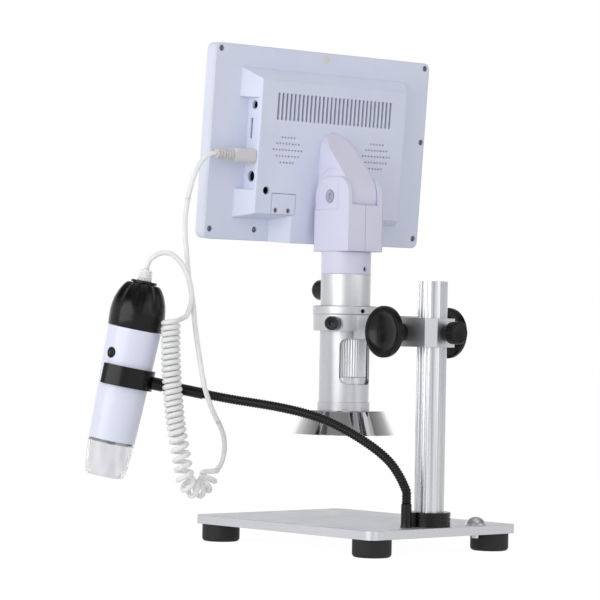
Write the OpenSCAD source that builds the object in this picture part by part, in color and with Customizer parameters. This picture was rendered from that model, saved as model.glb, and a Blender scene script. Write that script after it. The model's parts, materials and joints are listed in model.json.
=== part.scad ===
// Digital microscope with its own screen, on a rack-and-pinion stand, and a handheld
// microscope on a gooseneck, joined to the screen by a curly lead.
// Millimetres. The origin is on the table, under the middle of the base plate.
// +Z is up, -Y is the user's side, where the screen faces, and +X is the user's right.

/* [Base] */
// Width of the base plate, side to side
base_w = 138; // [120:1:170]
// Depth of the base plate, front to back
base_d = 178; // [165:1:215]
// Thickness of the base plate
base_t = 6; // [5:0.5:8]
// Corner radius of the base plate
base_corner_r = 6; // [2:0.5:12]
// Diameter of a foot
foot_d = 26; // [18:1:30]
// Height of a foot
foot_h = 12; // [10:0.5:16]
// Distance from a foot's centre to both edges of the plate
foot_inset = 13.5; // [12:0.5:18]

/* [Post] */
// Diameter of the post
post_d = 20; // [18:0.5:22]
// Height of the post above the plate
post_h = 163.4; // [150:1:200]
// Distance from the post's axis to the plate's back edge
post_edge = 16.8; // [16:0.2:22]
// Outer diameter of the collar at the post's foot
collar_d = 29; // [26:0.5:32]
// Height of the collar
collar_h = 9.6; // [7:0.2:14]

/* [Focus drive] */
// Width of the sliding block, side to side
block_w = 28; // [26:1:34]
// Height of the sliding block
block_h = 19.3; // [17:0.1:24]
// Height of the block's underside above the plate, as it stands
focus_height = 119.5; // [80:0.5:125]
// Diameter of a focus knob
focus_knob_d = 34.5; // [26:0.5:40]
// Thickness of a focus knob's rim
focus_rim = 4.7; // [3:0.1:6]
// Diameter of the lock knob's head
lock_knob_d = 15; // [12:0.5:20]

/* [Microscope tube] */
// Distance from the post's axis to the tube's axis
scope_reach = 85; // [78:1:110]
// Outer diameter of the tube
tube_d = 34.5; // [33:0.5:37]
// Wall of the tube
tube_wall = 1.45; // [1.2:0.05:2]
// Outer diameter of the ring that holds the tube
ring_d = 44; // [42:0.5:50]
// Height of the ring
ring_h = 11.1; // [9:0.1:15]
// Height of the stop band above the ring
band_h = 6.2; // [5:0.1:9]
// Length of tube above the ring
tube_above = 27.9; // [27:0.1:34]
// Length of tube below the ring's top
tube_below = 65.8; // [64:0.1:75]
// Width of the window on the magnification dial
window_w = 26.4; // [20:0.2:28]
// Height of the window
window_h = 31.9; // [24:0.1:34]
// Bottom diameter of the lamp skirt
skirt_d = 71; // [60:1:80]
// Height of the lamp skirt
skirt_h = 16.5; // [12:0.5:22]

/* [Screen head] */
// Turn of the whole tube and screen in the ring, as photographed
head_turn = -4.3; // [-10:0.1:10]
// Lean of the screen's top towards the back
screen_tilt = 4.7; // [0:0.1:20]
// Height of the hinge above the yoke's foot
hinge_rise = 38; // [36:0.5:44]
// Width of the yoke
yoke_w = 30; // [28:0.5:36]
// Width of the arm between the yoke's ears
arm_w = 23; // [20:0.5:24]
// Width of the screen's case
case_w = 190; // [188:1:210]
// Thickness of the front frame
bezel_t = 9; // [8.5:0.5:12]
// Depth of the raised back above its border
box_depth = 14; // [13:0.5:18]
// Wall of the case
case_wall = 2.2; // [2:0.1:2.6]
// Width of the picture
picture_w = 154; // [140:1:160]
// Height of the picture
picture_h = 86; // [76:1:88]
// Number of vent slots
vent_count = 29; // [9:2:29]

/* [Gooseneck and handheld] */
// Diameter of the gooseneck over its ribs
neck_d = 6.4; // [5:0.2:7]
// Number of ribs along the gooseneck
neck_ribs = 90; // [40:5:120]
// Lower diameter of the handheld's body
hand_d_low = 31.2; // [28:0.2:34]
// Upper diameter of the handheld's body
hand_d_high = 35.9; // [34:0.1:38]
// Length of the handheld's white body
hand_body_h = 74.9; // [60:0.1:90]
// Lean of the handheld towards the stand
hand_lean = 10.5; // [8:0.5:13]
// Lobes round the handheld's focus wheel
wheel_lobes = 8; // [6:1:12]

/* [Curly lead] */
// Diameter of the lead
lead_d = 3.4; // [2.6:0.1:3.4]
// Diameter of the curled part over its curls
coil_d = 13.2; // [12.4:0.2:13.2]
// Number of whole curls
curls = 30; // [24:1:30]

/* [Hidden] */
$fn = 64;

// Clearances: a turning or sliding fit, a gap between moving faces, and an overshoot for cuts
fit = 0.05;
gap = 0.3;
cut = 1;

// Heights of the stand
plate_top = foot_h + base_t;
post_y = base_d / 2 - post_edge;
post_r = post_d / 2;
post_top = plate_top + post_h;

// Rack and pinion: straight-sided rack teeth and an involute pinion
tooth_module = 0.8;
pinion_teeth = 12;
pressure_angle = 25;
tooth_play = 0.12;
pitch_r = tooth_module * pinion_teeth / 2;
tip_r = pitch_r + tooth_module;
root_r = pitch_r - 1.15 * tooth_module;
rack_line = post_r + 0.2;
rack_w = 5;
rack_start = plate_top + collar_h + 2;
rack_teeth = floor((post_top - 3 - rack_start) / (PI * tooth_module));
pinion_w = 5;
pinion_y = post_y - rack_line - pitch_r;

// The sliding block and its arm
block_bottom = plate_top + focus_height;
block_top = block_bottom + block_h;
pinion_z = block_bottom + block_h / 2;
block_back = post_y + post_r + 3;
block_front = pinion_y - 10;
block_chamfer = 5.8;
arm_low = block_bottom + 4.5;
bush_r = 6;
bush_start = 4.7;
shaft_r = 3;
knob_hub_r = 6;
knob_face = 32.5;
stud_r = 2.4;
back_groove_w = 5.2;
back_groove = 1.2;

// The tube and what it carries
scope_y = post_y - scope_reach;
tube_r = tube_d / 2;
bore_r = tube_r - tube_wall;
ring_top = block_bottom + 20.9;
ring_bottom = ring_top - ring_h;
tube_top = ring_top + tube_above;
tube_bottom = ring_top - tube_below;
lip_h = 5.6;
lip_r = tube_r + 0.75;
window_top = ring_top - 15.9;
window_bottom = window_top - window_h;
shelf_z = window_bottom - 4.6;
shelf_t = 2;
dial_r = bore_r - 0.6;
dial_top = window_top + 2;
dial_bore = 12.4;
dial_flutes = 36;
cell_r = dial_bore - 0.1;
skirt_top_r = skirt_d / 2 - 7;
skirt_bottom = tube_bottom - skirt_h;
skirt_wall = 1.6;
lamp_z = tube_bottom - 5;
lamp_count = 12;
sensor_z = ring_top + 7.2;
dimmer_z = ring_top + 17.3;
dimmer_r = 7.25;
dimmer_reach = 33;
clamp_az = 30;
clamp_z = ring_bottom + ring_h / 2 - 0.5;
band_hole_az = 32;

// The yoke, its hinge and the screen's arm
collar_top = tube_top + 15.7;
yoke_front = 17.5;
yoke_back = 20.5;
hinge_setback = 1.5;
hinge_z = collar_top + hinge_rise;
arm_r = 19.5;
slot_r = arm_r + 0.4;
slot_w = arm_w + 0.6;
ear_top = 13.4;
ear_corner = 12.5;
wall_top = 5.8;
hinge_bolt_r = 3;
hinge_head_r = 4.25;
hinge_recess = 1.6;
box_n = -18.5;
arm_arch = 43.8;

// The screen's case, in the hinge's frame: x along the hinge, y to the back, z up the case
case_low = -34.4;
case_high = 99.4;
case_r = 5;
border_n = box_n - box_depth;
seam_n = border_n - 2;
front_n = seam_n - bezel_t;
crest_w = 64;
foot_w = 73;
crest_low = -15;
crest_high = 77;
foot_low = -19;
foot_high = 84.4;
port_wall = 65;
port_low = 1;
port_high = 64;
spine_crest = 32;
spine_foot = 41;
vent_pitch = 3.55;
vent_slot = 1.6;
vent_low = 50;
vent_high = 68.3;
speaker_u = 39.5;
speaker_w = 29.5;
speaker_r = 14;
grille_rows = [5, 8, 10, 8, 5];
grille_row_pitch = 4.3;
grille_pitch = 2.7;
grille_hole = 1.2;
board_n = border_n + 2;
board_t = 1.6;
board_top = board_n + board_t;
boss_r = 2.8;
board_bosses = [[-18, 4], [18, 4], [-18, 46.5], [18, 46.5]];
hatch = [[29.5, -15], [50.5, -0.5]];
hatch_t = 1.5;
hatch_screws = [[46.5, -12.2], [35.5, -12.2]];
case_screws = [[-91, 95.6], [91, 95.6], [92, 23.9], [-92, 42.4], [-91, -27.5], [91, -27.5], [53, -26.7], [0, 94.7]];
case_screw_r = 1.9;
mode_hole = [55.6, 1];
picture_mid = 44.4;
front_wall = 2.5;
screen_t = 5;
key_count = 6;
key_pitch = 20;
key_w = 11;
key_h = 5;
key_z = -18;
key_travel = 0.8;

// Sockets in the port wall: [height up the case, place from front to back]
av_jack = [59, -25.5];
card_slot = [42.8, -27.6];
usb_port = [23.8, -23.5];
power_jack = [10, -24.5];
plug_len = 18;
relief_len = 13.5;

// The gooseneck's frame: x away from the stand, y towards the right rear, z up
neck_x = 22;
neck_y = post_y + 0.8;
neck_az = -43;
socket_r = 3.5;
socket_h = 16;
hand_reach = 188.1;
hand_height = 114.5;
stub_r = 4.3;
sleeve_r = 3.7;
stub_end = 26;
sleeve_end = 53.4;
sleeve_drop = -1;

// The handheld, along its own axis from the level of its clip
hand_low = -43.2;
hand_high = hand_low + hand_body_h;
hand_wall = 2;
clip_h = 13.3;
clip_r = 19.5;
clip_gap_angle = 88;
nozzle_len = 24.2;
nozzle_wall = 1.6;
wheel_ring_h = 11.3;
wheel_top = hand_high + 30.6;
core_r = 7.4;
cap_r = 8.65;
cap_t = 1.6;
hand_relief_len = 7.9;
button_s = 14;
button_az = 51;
button_r = 3.5;

// Routes in the gooseneck's frame, chosen by hand along the photographed lines
neck_route = [[1.3, 0, 44.5], [5, 0, 51.8], [10.5, 0, 59.8], [18, 0, 66.9], [28, 0, 74],
    [40, 0, 81], [54, 0, 87.6], [68, 0, 92.1], [84, 0, 95.6], [100, 0, 98.1], [115, 0, 100.2]];
coil_route = [[157.5, 12, 152], [157.4, 12, 140], [157, 12, 128], [156.3, 12, 116], [155.3, 12, 104],
    [154.1, 12, 92.5], [152.6, 12, 82], [150.7, 11.9, 72], [148.9, 11.6, 62.5]];
loop_route = [[172.5, 0.2, 191.9], [168.9, 0.4, 195], [163.6, 0.6, 196.7], [158.3, 0.8, 195.6],
    [153.4, 1, 191.8], [149.9, 1, 186.4], [147, 0.9, 180], [145.2, 0.5, 173], [144.7, 0, 165.7],
    [146.1, -1, 160], [147.9, 0.8, 155.2]];
drop_route = [[124.9, -22.9, 54.9], [123.1, -24.9, 59.9], [122.1, -23.6, 65.5], [122, -19.5, 71.5],
    [122.9, -13, 77.5], [125, -5.5, 83.5], [128, 1.5, 90], [131.2, 6.5, 98], [134.3, 9, 107.2],
    [136.7, 8.4, 118.3], [139.4, 5, 132.7], [142.2, -0.5, 149], [144.4, -6.5, 165.8],
    [147.4, -11.4, 180], [149.2, -15.6, 194], [150.8, -19.4, 208], [151.3, -22.4, 221],
    [149.9, -24.9, 234], [147.2, -25.8, 246], [143.9, -27.6, 255.5], [139.6, -30.2, 262.2]];
// The turn at the bottom of the curls: its middle, radius and heading
turn_mid = [138.9, 1.2];
turn_r = 13.6;
turn_az = 54;
turn_z = 54;
turn_sweep = 180;

// Frames of the turned tube, the tilted screen, the gooseneck and the handheld
module at_post() {
    translate([0, post_y, 0]) children();
}

module at_scope() {
    translate([0, scope_y, 0]) rotate([0, 0, head_turn]) children();
}

module at_hinge() {
    at_scope() translate([0, -hinge_setback, hinge_z]) children();
}

module at_screen() {
    at_hinge() rotate([-screen_tilt, 0, 0]) children();
}

module at_gooseneck() {
    translate([neck_x, neck_y, 0]) rotate([0, 0, neck_az]) children();
}

module at_hand() {
    at_gooseneck() translate([hand_reach, 0, hand_height]) rotate([0, -hand_lean, 0]) children();
}

// Small shapes used by several pieces
module disc(r, low, high) {
    translate([0, 0, low]) cylinder(r = r, h = high - low);
}

module washer(r, bore, low, high) {
    difference() {
        disc(r, low, high);
        disc(bore, low - cut, high + cut);
    }
}

module along_x(from) {
    translate([from, 0, 0]) rotate([0, 90, 0]) children();
}

module along_y(from) {
    translate([0, from, 0]) rotate([-90, 0, 0]) children();
}

module rounded_rect(w, d, r) {
    square([w - 2 * r, d], center = true);
    square([w, d - 2 * r], center = true);
    for (x = [-1, 1], y = [-1, 1])
        translate([x * (w / 2 - r), y * (d / 2 - r)]) circle(r);
}

// A box between two corners
module block_of(low, high) {
    translate(low) cube(high - low);
}

// Screw with a pan head: the shank points down from the underside of the head at z = 0
module pan_screw(shank_r, shank_len, head_r, head_h) {
    disc(shank_r, -shank_len, 0);
    difference() {
        rotate_extrude() intersection() {
            translate([0, -head_r * 1.2 + head_h]) circle(r = head_r * 1.2);
            square([head_r, head_h]);
        }
        for (turn = [0, 90])
            rotate([0, 0, turn]) translate([-head_r * 0.6, -head_r * 0.1, head_h * 0.5])
                cube([head_r * 1.2, head_r * 0.2, head_h]);
    }
}

// Base
foot_places = [for (x = [-1, 1], y = [-1, 1]) [x * (base_w / 2 - foot_inset), y * (base_d / 2 - foot_inset)]];
dome_screw_place = [-39.6, base_d / 2 - 11.4];
foot_screw_r = 2;
foot_screw_len = 9;

module base_plate() {
    color("silver") difference() {
        translate([0, 0, foot_h]) linear_extrude(base_t) rounded_rect(base_w, base_d, base_corner_r);
        for (p = foot_places)
            translate([p.x, p.y, 0]) disc(foot_screw_r + fit, foot_h - cut, foot_h + base_t - 1.5);
        at_post() disc(3 + fit, foot_h - cut, plate_top + cut);
        at_post() disc(5.4, foot_h - cut, foot_h + 3);
        translate(dome_screw_place) disc(2.5 + fit, foot_h - cut, plate_top + cut);
        translate([neck_x, neck_y, 0]) disc(2.5 + fit, foot_h - cut, plate_top + cut);
    }
}

module feet() {
    edge = 2.5;
    color("black") for (p = foot_places) translate([p.x, p.y, 0]) difference() {
        rotate_extrude() {
            square([foot_d / 2 - edge, foot_h]);
            translate([0, edge]) square([foot_d / 2, foot_h - edge]);
            translate([foot_d / 2 - edge, edge]) circle(edge);
        }
        disc(5, -cut, 5);
        disc(foot_screw_r + 0.1, -cut, foot_h + cut);
    }
}

module foot_screws() {
    color("dimgray") for (p = foot_places) translate([p.x, p.y, 5]) rotate([180, 0, 0])
        pan_screw(foot_screw_r, foot_screw_len + 2, 4, 2.4);
}

module post() {
    flute_angles = [-25.5, -8.5, 8.5, 25.5, 154.5, 171.5, 188.5, 205.5];
    rack_slot = 3;
    color("silver") at_post() difference() {
        translate([0, 0, plate_top]) linear_extrude(post_h) difference() {
            circle(post_r);
            for (a = flute_angles) rotate(a) translate([post_r + 0.35, 0]) circle(r = 0.9, $fn = 24);
            translate([-back_groove_w / 2, post_r - back_groove]) square([back_groove_w, back_groove + cut]);
            translate([-rack_w / 2 - fit, -post_r - cut]) square([rack_w + 2 * fit, rack_slot + cut]);
        }
        disc(2.5, plate_top - cut, plate_top + 20);
    }
}

// Rack: teeth on the user's side of the strip, set into the post's slot
module rack() {
    tooth_pitch = PI * tooth_module;
    back = post_r - 3 + fit;
    root = rack_line - 1.15 * tooth_module;
    tip = rack_line + tooth_module;
    slope = tan(pressure_angle);
    half = (tooth_pitch - tooth_play) / 4;
    outline = concat([[back, -tooth_pitch / 2]],
        [for (i = [0:rack_teeth - 1]) each [
            [root, i * tooth_pitch - half - (rack_line - root) * slope],
            [tip, i * tooth_pitch - half + (tip - rack_line) * slope],
            [tip, i * tooth_pitch + half - (tip - rack_line) * slope],
            [root, i * tooth_pitch + half + (rack_line - root) * slope]]],
        [[root, (rack_teeth - 0.5) * tooth_pitch], [back, (rack_teeth - 0.5) * tooth_pitch]],
        [[root, -tooth_pitch / 2]]);
    ordered = concat([outline[len(outline) - 1]], [for (i = [1:len(outline) - 2]) outline[i]], [outline[0]]);
    // A tooth stands level with the pinion's axis
    phase = pinion_z - tooth_pitch * floor((pinion_z - rack_start) / tooth_pitch);
    color("gainsboro") at_post() translate([rack_w / 2, 0, phase])
        rotate([90, 0, -90]) linear_extrude(rack_w) polygon(ordered);
}

module post_collar() {
    groove = 0.5;
    color("black") at_post() translate([0, 0, plate_top]) difference() {
        washer(collar_d / 2, post_r + fit, 0, collar_h);
        for (z = [0.33, 0.62])
            washer(collar_d / 2 + cut, collar_d / 2 - groove, z * collar_h, z * collar_h + 0.8);
    }
}

module post_bolt() {
    color("dimgray") at_post() difference() {
        union() {
            disc(5, foot_h + 0.4, foot_h + 3);
            disc(3, foot_h, plate_top);
            disc(2.5, plate_top, plate_top + 14);
        }
        translate([0, 0, foot_h - cut]) cylinder(r = 2.9, h = 1.8 + cut, $fn = 6);
    }
}

module dome_screw() {
    head_r = 7.5;
    head_h = 5.4;
    ball = (head_r * head_r + head_h * head_h) / (2 * head_h);
    color("gainsboro") translate(dome_screw_place) {
        translate([0, 0, plate_top]) rotate_extrude() intersection() {
            translate([0, head_h - ball]) circle(r = ball);
            square([head_r, head_h]);
        }
        disc(2.5, foot_h - 3, plate_top);
    }
}

// The sliding block, its arm and the ring are one casting
module carriage() {
    half = block_w / 2;
    c = block_chamfer;
    slot_half = rack_w / 2 + gap;
    color("lightgray") difference() {
        union() {
            translate([0, 0, block_bottom]) linear_extrude(block_h) polygon([
                [-half, block_front], [half, block_front], [half, block_back - c],
                [half - c, block_back], [-half + c, block_back], [-half, block_back - c]]);
            translate([0, 0, arm_low]) linear_extrude(ring_top - 0.4 - arm_low) polygon([
                [-half + 3, block_front + 1], [half - 3, block_front + 1],
                [8, scope_y + ring_d / 2 + 3], [8, scope_y + ring_d / 2 - 5],
                [-8, scope_y + ring_d / 2 - 5], [-8, scope_y + ring_d / 2 + 3]]);
            translate([0, scope_y, 0]) disc(ring_d / 2, ring_bottom, ring_top);
            translate([0, scope_y, clamp_z]) rotate([0, 90, clamp_az])
                translate([0, 0, ring_d / 2 - 2]) cylinder(r = 5, h = 4.2);
        }
        at_post() disc(post_r + fit, block_bottom - cut, block_top + cut);
        translate([-slot_half, post_y - rack_line - tooth_module - gap, block_bottom - cut])
            cube([2 * slot_half, 6, block_h + 2 * cut]);
        translate([0, pinion_y, pinion_z]) along_x(-half - cut) cylinder(r = bush_r, h = block_w + 2 * cut);
        translate([0, 0, pinion_z]) along_y(post_y) cylinder(r = stud_r + fit, h = post_r + 5);
        translate([0, scope_y, 0]) disc(tube_r + fit, arm_low - cut, ring_top + cut);
        translate([0, scope_y, clamp_z]) rotate([0, 90, clamp_az]) cylinder(r = 2 + fit, h = ring_d);
    }
}

module shaft_bushes() {
    color("darkgoldenrod") translate([0, pinion_y, pinion_z])
        for (side = [-1, 1]) along_x(side > 0 ? bush_start : -block_w / 2)
            washer(bush_r, shaft_r + fit, 0, block_w / 2 - bush_start);
}

// Involute pinion turned on its shaft
function involute(base, roll) = base * [cos(roll) + roll * PI / 180 * sin(roll), sin(roll) - roll * PI / 180 * cos(roll)];
function roll_at(base, r) = sqrt(pow(max(r, base) / base, 2) - 1) * 180 / PI;
function turned(p, a) = [p.x * cos(a) - p.y * sin(a), p.x * sin(a) + p.y * cos(a)];

module pinion_outline() {
    base = pitch_r * cos(pressure_angle);
    to_pitch = roll_at(base, pitch_r) - pressure_angle;
    half = 90 / pinion_teeth - tooth_play / 4 / pitch_r * 180 / PI + to_pitch;
    rolls = [for (k = [0:4]) roll_at(base, base + (tip_r - base) * k / 4)];
    flank = [for (roll = rolls) turned(involute(base, roll), -half)];
    tooth = concat([turned([root_r, 0], -half)], flank);
    back = [for (i = [len(tooth) - 1:-1:0]) [tooth[i].x, -tooth[i].y]];
    polygon([for (i = [0:pinion_teeth - 1]) each
        [for (p = concat(tooth, back)) turned(p, i * 360 / pinion_teeth)]]);
}

module pinion_shaft() {
    // At rest the gap between two teeth faces the rack's tooth
    color("gray") translate([0, pinion_y, pinion_z]) along_x(0) {
        disc(shaft_r, -knob_face + 4, knob_face - 4);
        rotate(90 + 180 / pinion_teeth) translate([0, 0, -pinion_w / 2])
            linear_extrude(pinion_w) pinion_outline();
    }
}

// Focus knob: a hub, a hollow curved cone and a dished rim
module focus_knob() {
    hub = block_w / 2 + gap;
    cone = 20;
    rim_back = knob_face - focus_rim;
    rim_r = focus_knob_d / 2;
    steps = 8;
    curve = [for (k = [0:steps]) let (a = 90 * k / steps)
        [knob_hub_r + (rim_r - 1.2 - knob_hub_r) * (1 - cos(a)), cone + (rim_back - cone) * sin(a)]];
    dish = [for (k = [0:steps]) let (a = 90 * k / steps)
        [(rim_r - 3.2) * cos(a), knob_face - 3.4 * sin(a)]];
    color("black") translate([0, pinion_y, pinion_z]) rotate([0, 90, 0]) difference() {
        rotate_extrude() polygon(concat([[0, hub], [knob_hub_r, hub]], curve,
            [[rim_r, rim_back + 1.2], [rim_r, knob_face - 1.2], [rim_r - 1.2, knob_face]], dish));
        disc(shaft_r + fit, 0, knob_face - 4 + gap);
    }
}

module focus_knob_right() {
    focus_knob();
}

module focus_knob_left() {
    mirror([1, 0, 0]) focus_knob();
}

module knurled(r, h, count, depth) {
    linear_extrude(h) difference() {
        circle(r);
        for (i = [0:count - 1]) rotate(i * 360 / count) translate([r + depth * 0.6, 0])
            circle(r = depth * 1.6, $fn = 16);
    }
}

module lock_knob() {
    head = 8;
    hub = 4.8;
    color("black") translate([0, block_back + gap, pinion_z]) along_y(0) {
        disc(5.5, 0, hub);
        translate([0, 0, hub]) knurled(lock_knob_d / 2, head, 24, 0.6);
        disc(stud_r, -(block_back + gap - post_y - post_r - 0.1), 0);
    }
}

module ring_clamp_screw() {
    head = 7;
    head_from = ring_d / 2 + 4.5;
    color("black") translate([0, scope_y, clamp_z]) rotate([0, 90, clamp_az]) {
        disc(2, tube_r + gap, head_from);
        translate([0, 0, head_from]) difference() {
            knurled(4.9, head, 20, 0.5);
            translate([0, 0, head - 2]) cylinder(r = 2, h = 3, $fn = 6);
        }
    }
}

// The tube: windows front and back show the dial, shelves carry the dial and the sensor
module tube() {
    corner = 5;
    color("silver") at_scope() difference() {
        union() {
            washer(tube_r, bore_r, tube_bottom, tube_top);
            washer(lip_r, bore_r, tube_bottom, tube_bottom + lip_h);
            washer(bore_r + 0.5, 12.6, shelf_z, shelf_z + shelf_t);
            washer(bore_r + 0.5, 13, sensor_z - shelf_t, sensor_z);
        }
        for (side = [0, 180]) rotate([0, 0, side]) translate([0, 10, (window_top + window_bottom) / 2])
            rotate([-90, 0, 0]) linear_extrude(tube_r) rounded_rect(window_w, window_h, corner);
        translate([0, -bore_r + 6, dimmer_z]) rotate([90, 0, 0]) cylinder(r = 3.2, h = 20);
    }
}

module stop_band() {
    edge = 0.6;
    r = tube_r + 5.25;
    color("gainsboro") at_scope() difference() {
        rotate_extrude() difference() {
            translate([tube_r + fit, ring_top]) polygon([[0, 0], [r - tube_r - fit - edge, 0],
                [r - tube_r - fit, edge], [r - tube_r - fit, band_h - edge],
                [r - tube_r - fit - edge, band_h], [0, band_h]]);
        }
        translate([0, 0, ring_top + 2.6]) rotate([0, 90, band_hole_az + 90 - head_turn - 43])
            cylinder(r = 1.5 + fit, h = r + cut);
    }
}

// Headless screws that hold the stop band and the neck collar
neck_screw_z = tube_top + 3.7;
module set_screws() {
    color("black") at_scope() {
        translate([0, 0, ring_top + 2.6]) rotate([0, 90, band_hole_az + 90 - head_turn - 43])
            headless(1.5, tube_r, tube_r + 4);
        translate([0, 0, neck_screw_z]) rotate([0, 90, 100]) headless(1.5, 12.3, tube_r - 1.2);
    }
}

module headless(r, from, to) {
    difference() {
        disc(r, from, to);
        translate([0, 0, to - 1.2]) cylinder(r = 0.8, h = 2, $fn = 6);
    }
}

module magnification_dial() {
    band = window_bottom + 4.9;
    color("silver") at_scope() difference() {
        union() {
            disc(dial_r, shelf_z + shelf_t, band);
            translate([0, 0, band]) linear_extrude(window_top - 0.6 - band) difference() {
                circle(dial_r);
                for (i = [0:dial_flutes - 1]) rotate(i * 360 / dial_flutes)
                    translate([dial_r + 0.3, 0]) circle(r = 0.8, $fn = 16);
            }
            disc(dial_r, window_top - 0.6, dial_top);
        }
        disc(dial_bore, shelf_z, dial_top + cut);
    }
}

// The lens cell slides in the dial, and the lens sits between its shoulder and the top
module lens_cell() {
    low = window_bottom + 1.4;
    color("dimgray") at_scope() difference() {
        disc(cell_r, low, low + 26);
        disc(8, low - cut, low + 10);
        disc(9.5, low + 8, low + 27);
        for (z = [6, 20]) washer(cell_r + cut, cell_r - 0.5, low + z, low + z + 1);
    }
}

module objective_lens() {
    seat = window_bottom + 9.4;
    ball = 24;
    color("lightblue") at_scope() translate([0, 0, seat]) intersection() {
        disc(9.45, 0, 4);
        translate([0, 0, 4 - ball]) sphere(ball);
    }
}

module sensor_board() {
    color("green") at_scope() {
        disc(bore_r - 0.6, sensor_z, sensor_z + 1.6);
        block_of([-6, -6, sensor_z - 1.4], [6, 6, sensor_z]);
        block_of([-5, 4, sensor_z + 1.6], [5, 9, sensor_z + 5]);
    }
}

// Lamp skirt: a polished cone, open below, on a spigot in the tube's end
module lamp_skirt() {
    top = tube_bottom;
    color("whitesmoke") at_scope() rotate_extrude() polygon([
        [13.5, top - 3.4], [skirt_top_r - skirt_wall, top - 3.4],
        [skirt_d / 2 - skirt_wall, skirt_bottom], [skirt_d / 2, skirt_bottom],
        [skirt_top_r, top - 0.5], [skirt_top_r - 0.5, top],
        [bore_r - fit, top], [bore_r - fit, top + 5], [13.5, top + 5]]);
}

module lamp_ring() {
    color("white") at_scope() {
        washer(skirt_top_r - skirt_wall - 0.5, 14, lamp_z, tube_bottom - 3.4);
        for (i = [0:lamp_count - 1]) rotate([0, 0, i * 360 / lamp_count])
            translate([20, 0, lamp_z - 3]) cylinder(r = 2.2, h = 3, $fn = 24);
    }
}

module dimmer() {
    color("dimgray") at_scope() difference() {
        union() {
            block_of([-5, -bore_r + 1, dimmer_z - 5], [5, -bore_r + 6, dimmer_z + 5]);
            translate([0, -bore_r + 2, dimmer_z]) rotate([90, 0, 0]) cylinder(r = 3, h = 3.2);
        }
        translate([0, 0, dimmer_z]) rotate([90, 0, 0]) cylinder(r = 1.5 + fit, h = 30);
    }
}

module dimmer_knob() {
    back = tube_r + 0.35;
    dome = 6;
    color("black") at_scope() translate([0, 0, dimmer_z]) rotate([90, 0, 0]) {
        disc(1.5, bore_r - 5, back + 4);
        rotate_extrude() {
            translate([0, back]) square([dimmer_r, dimmer_reach - dome - back]);
            polygon(concat([[0, dimmer_reach - dome]], [for (k = [0:10]) let (a = 9 * k)
                [dimmer_r * cos(a), dimmer_reach - dome + dome * sin(a)]]));
        }
    }
}

module neck_collar() {
    spigot = 5;
    edge = 0.6;
    color("ghostwhite") at_scope() difference() {
        rotate_extrude() polygon([[11, tube_top - spigot], [bore_r - fit, tube_top - spigot],
            [bore_r - fit, tube_top], [tube_r, tube_top], [tube_r, collar_top - edge],
            [tube_r - edge, collar_top], [11, collar_top]]);
        translate([0, 0, neck_screw_z]) rotate([0, 90, 100]) cylinder(r = 1.5 + fit, h = tube_r + cut);
    }
}

// Yoke: two moulded halves with an ear each, closed round the hinge's hollow
module ear_outline() {
    front = -yoke_front + hinge_setback;
    back = yoke_back + hinge_setback;
    foot = -hinge_rise;
    difference() {
        polygon([[front, foot], [back, foot], [back, ear_top - ear_corner],
            [back - ear_corner, ear_top], [front + ear_corner, ear_top], [front, ear_top - ear_corner]]);
    }
    translate([back - ear_corner, ear_top - ear_corner]) circle(ear_corner);
    translate([front + ear_corner, ear_top - ear_corner]) circle(ear_corner);
}

module yoke_body() {
    front = -yoke_front + hinge_setback;
    back = yoke_back + hinge_setback;
    difference() {
        along_x(-yoke_w / 2) rotate([0, 0, 90]) linear_extrude(yoke_w) ear_outline();
        // The slot between the ears and the round hollow that the arm turns in
        block_of([-slot_w / 2, front - cut, -wall_top], [slot_w / 2, back + cut, ear_top + cut]);
        along_x(-slot_w / 2) cylinder(r = slot_r, h = slot_w);
        // Bolt hole and the recesses for its head and nut
        along_x(-yoke_w) cylinder(r = hinge_bolt_r + fit, h = 2 * yoke_w);
        for (side = [-1, 1]) along_x(side > 0 ? yoke_w / 2 - hinge_recess : -yoke_w / 2 - cut)
            cylinder(r = hinge_head_r + 0.25, h = hinge_recess + cut);
        // Sunk panels on the ears' sides
        for (side = [-1, 1]) translate([side * (yoke_w / 2 + cut - 0.6), 0, 0]) {
            translate([-cut, front - cut, -9]) cube([2 * cut, 27, 9 + ear_top + cut]);
        }
        // Duct for the camera's cable
        disc(6, -hinge_rise - cut, 0);
    }
}

module yoke_half(side) {
    color("lavender") at_hinge() intersection() {
        yoke_body();
        block_of([side > 0 ? fit / 2 : -yoke_w, -60, -60], [side > 0 ? yoke_w : -fit / 2, 60, 60]);
    }
}

module yoke_left() {
    yoke_half(-1);
}

module yoke_right() {
    yoke_half(1);
}

module hinge_bolt() {
    color("gray") at_hinge() {
        along_x(-yoke_w / 2) cylinder(r = hinge_bolt_r, h = yoke_w - hinge_recess);
        along_x(yoke_w / 2 - hinge_recess) difference() {
            cylinder(r = hinge_head_r, h = 1.4);
            for (turn = [0, 90]) rotate([0, 0, turn]) translate([-2.4, -0.4, 0.7]) cube([4.8, 0.8, 2]);
        }
        along_x(-yoke_w / 2 + 0.2) cylinder(r = hinge_head_r, h = hinge_recess - 0.2, $fn = 6);
    }
}

// Arm moulded to the case: a barrel round the bolt and a wedge up the raised back
module arm_side() {
    d = norm([box_n, arm_arch]);
    a = atan2(arm_arch, box_n) - acos(arm_r / d);
    intersection() {
        union() {
            circle(arm_r);
            polygon([[0, 0], [box_n, 0], [box_n, arm_arch], arm_r * [cos(a), sin(a)]]);
        }
        translate([box_n, -2 * arm_r]) square([4 * arm_r, 8 * arm_r]);
    }
}

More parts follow.
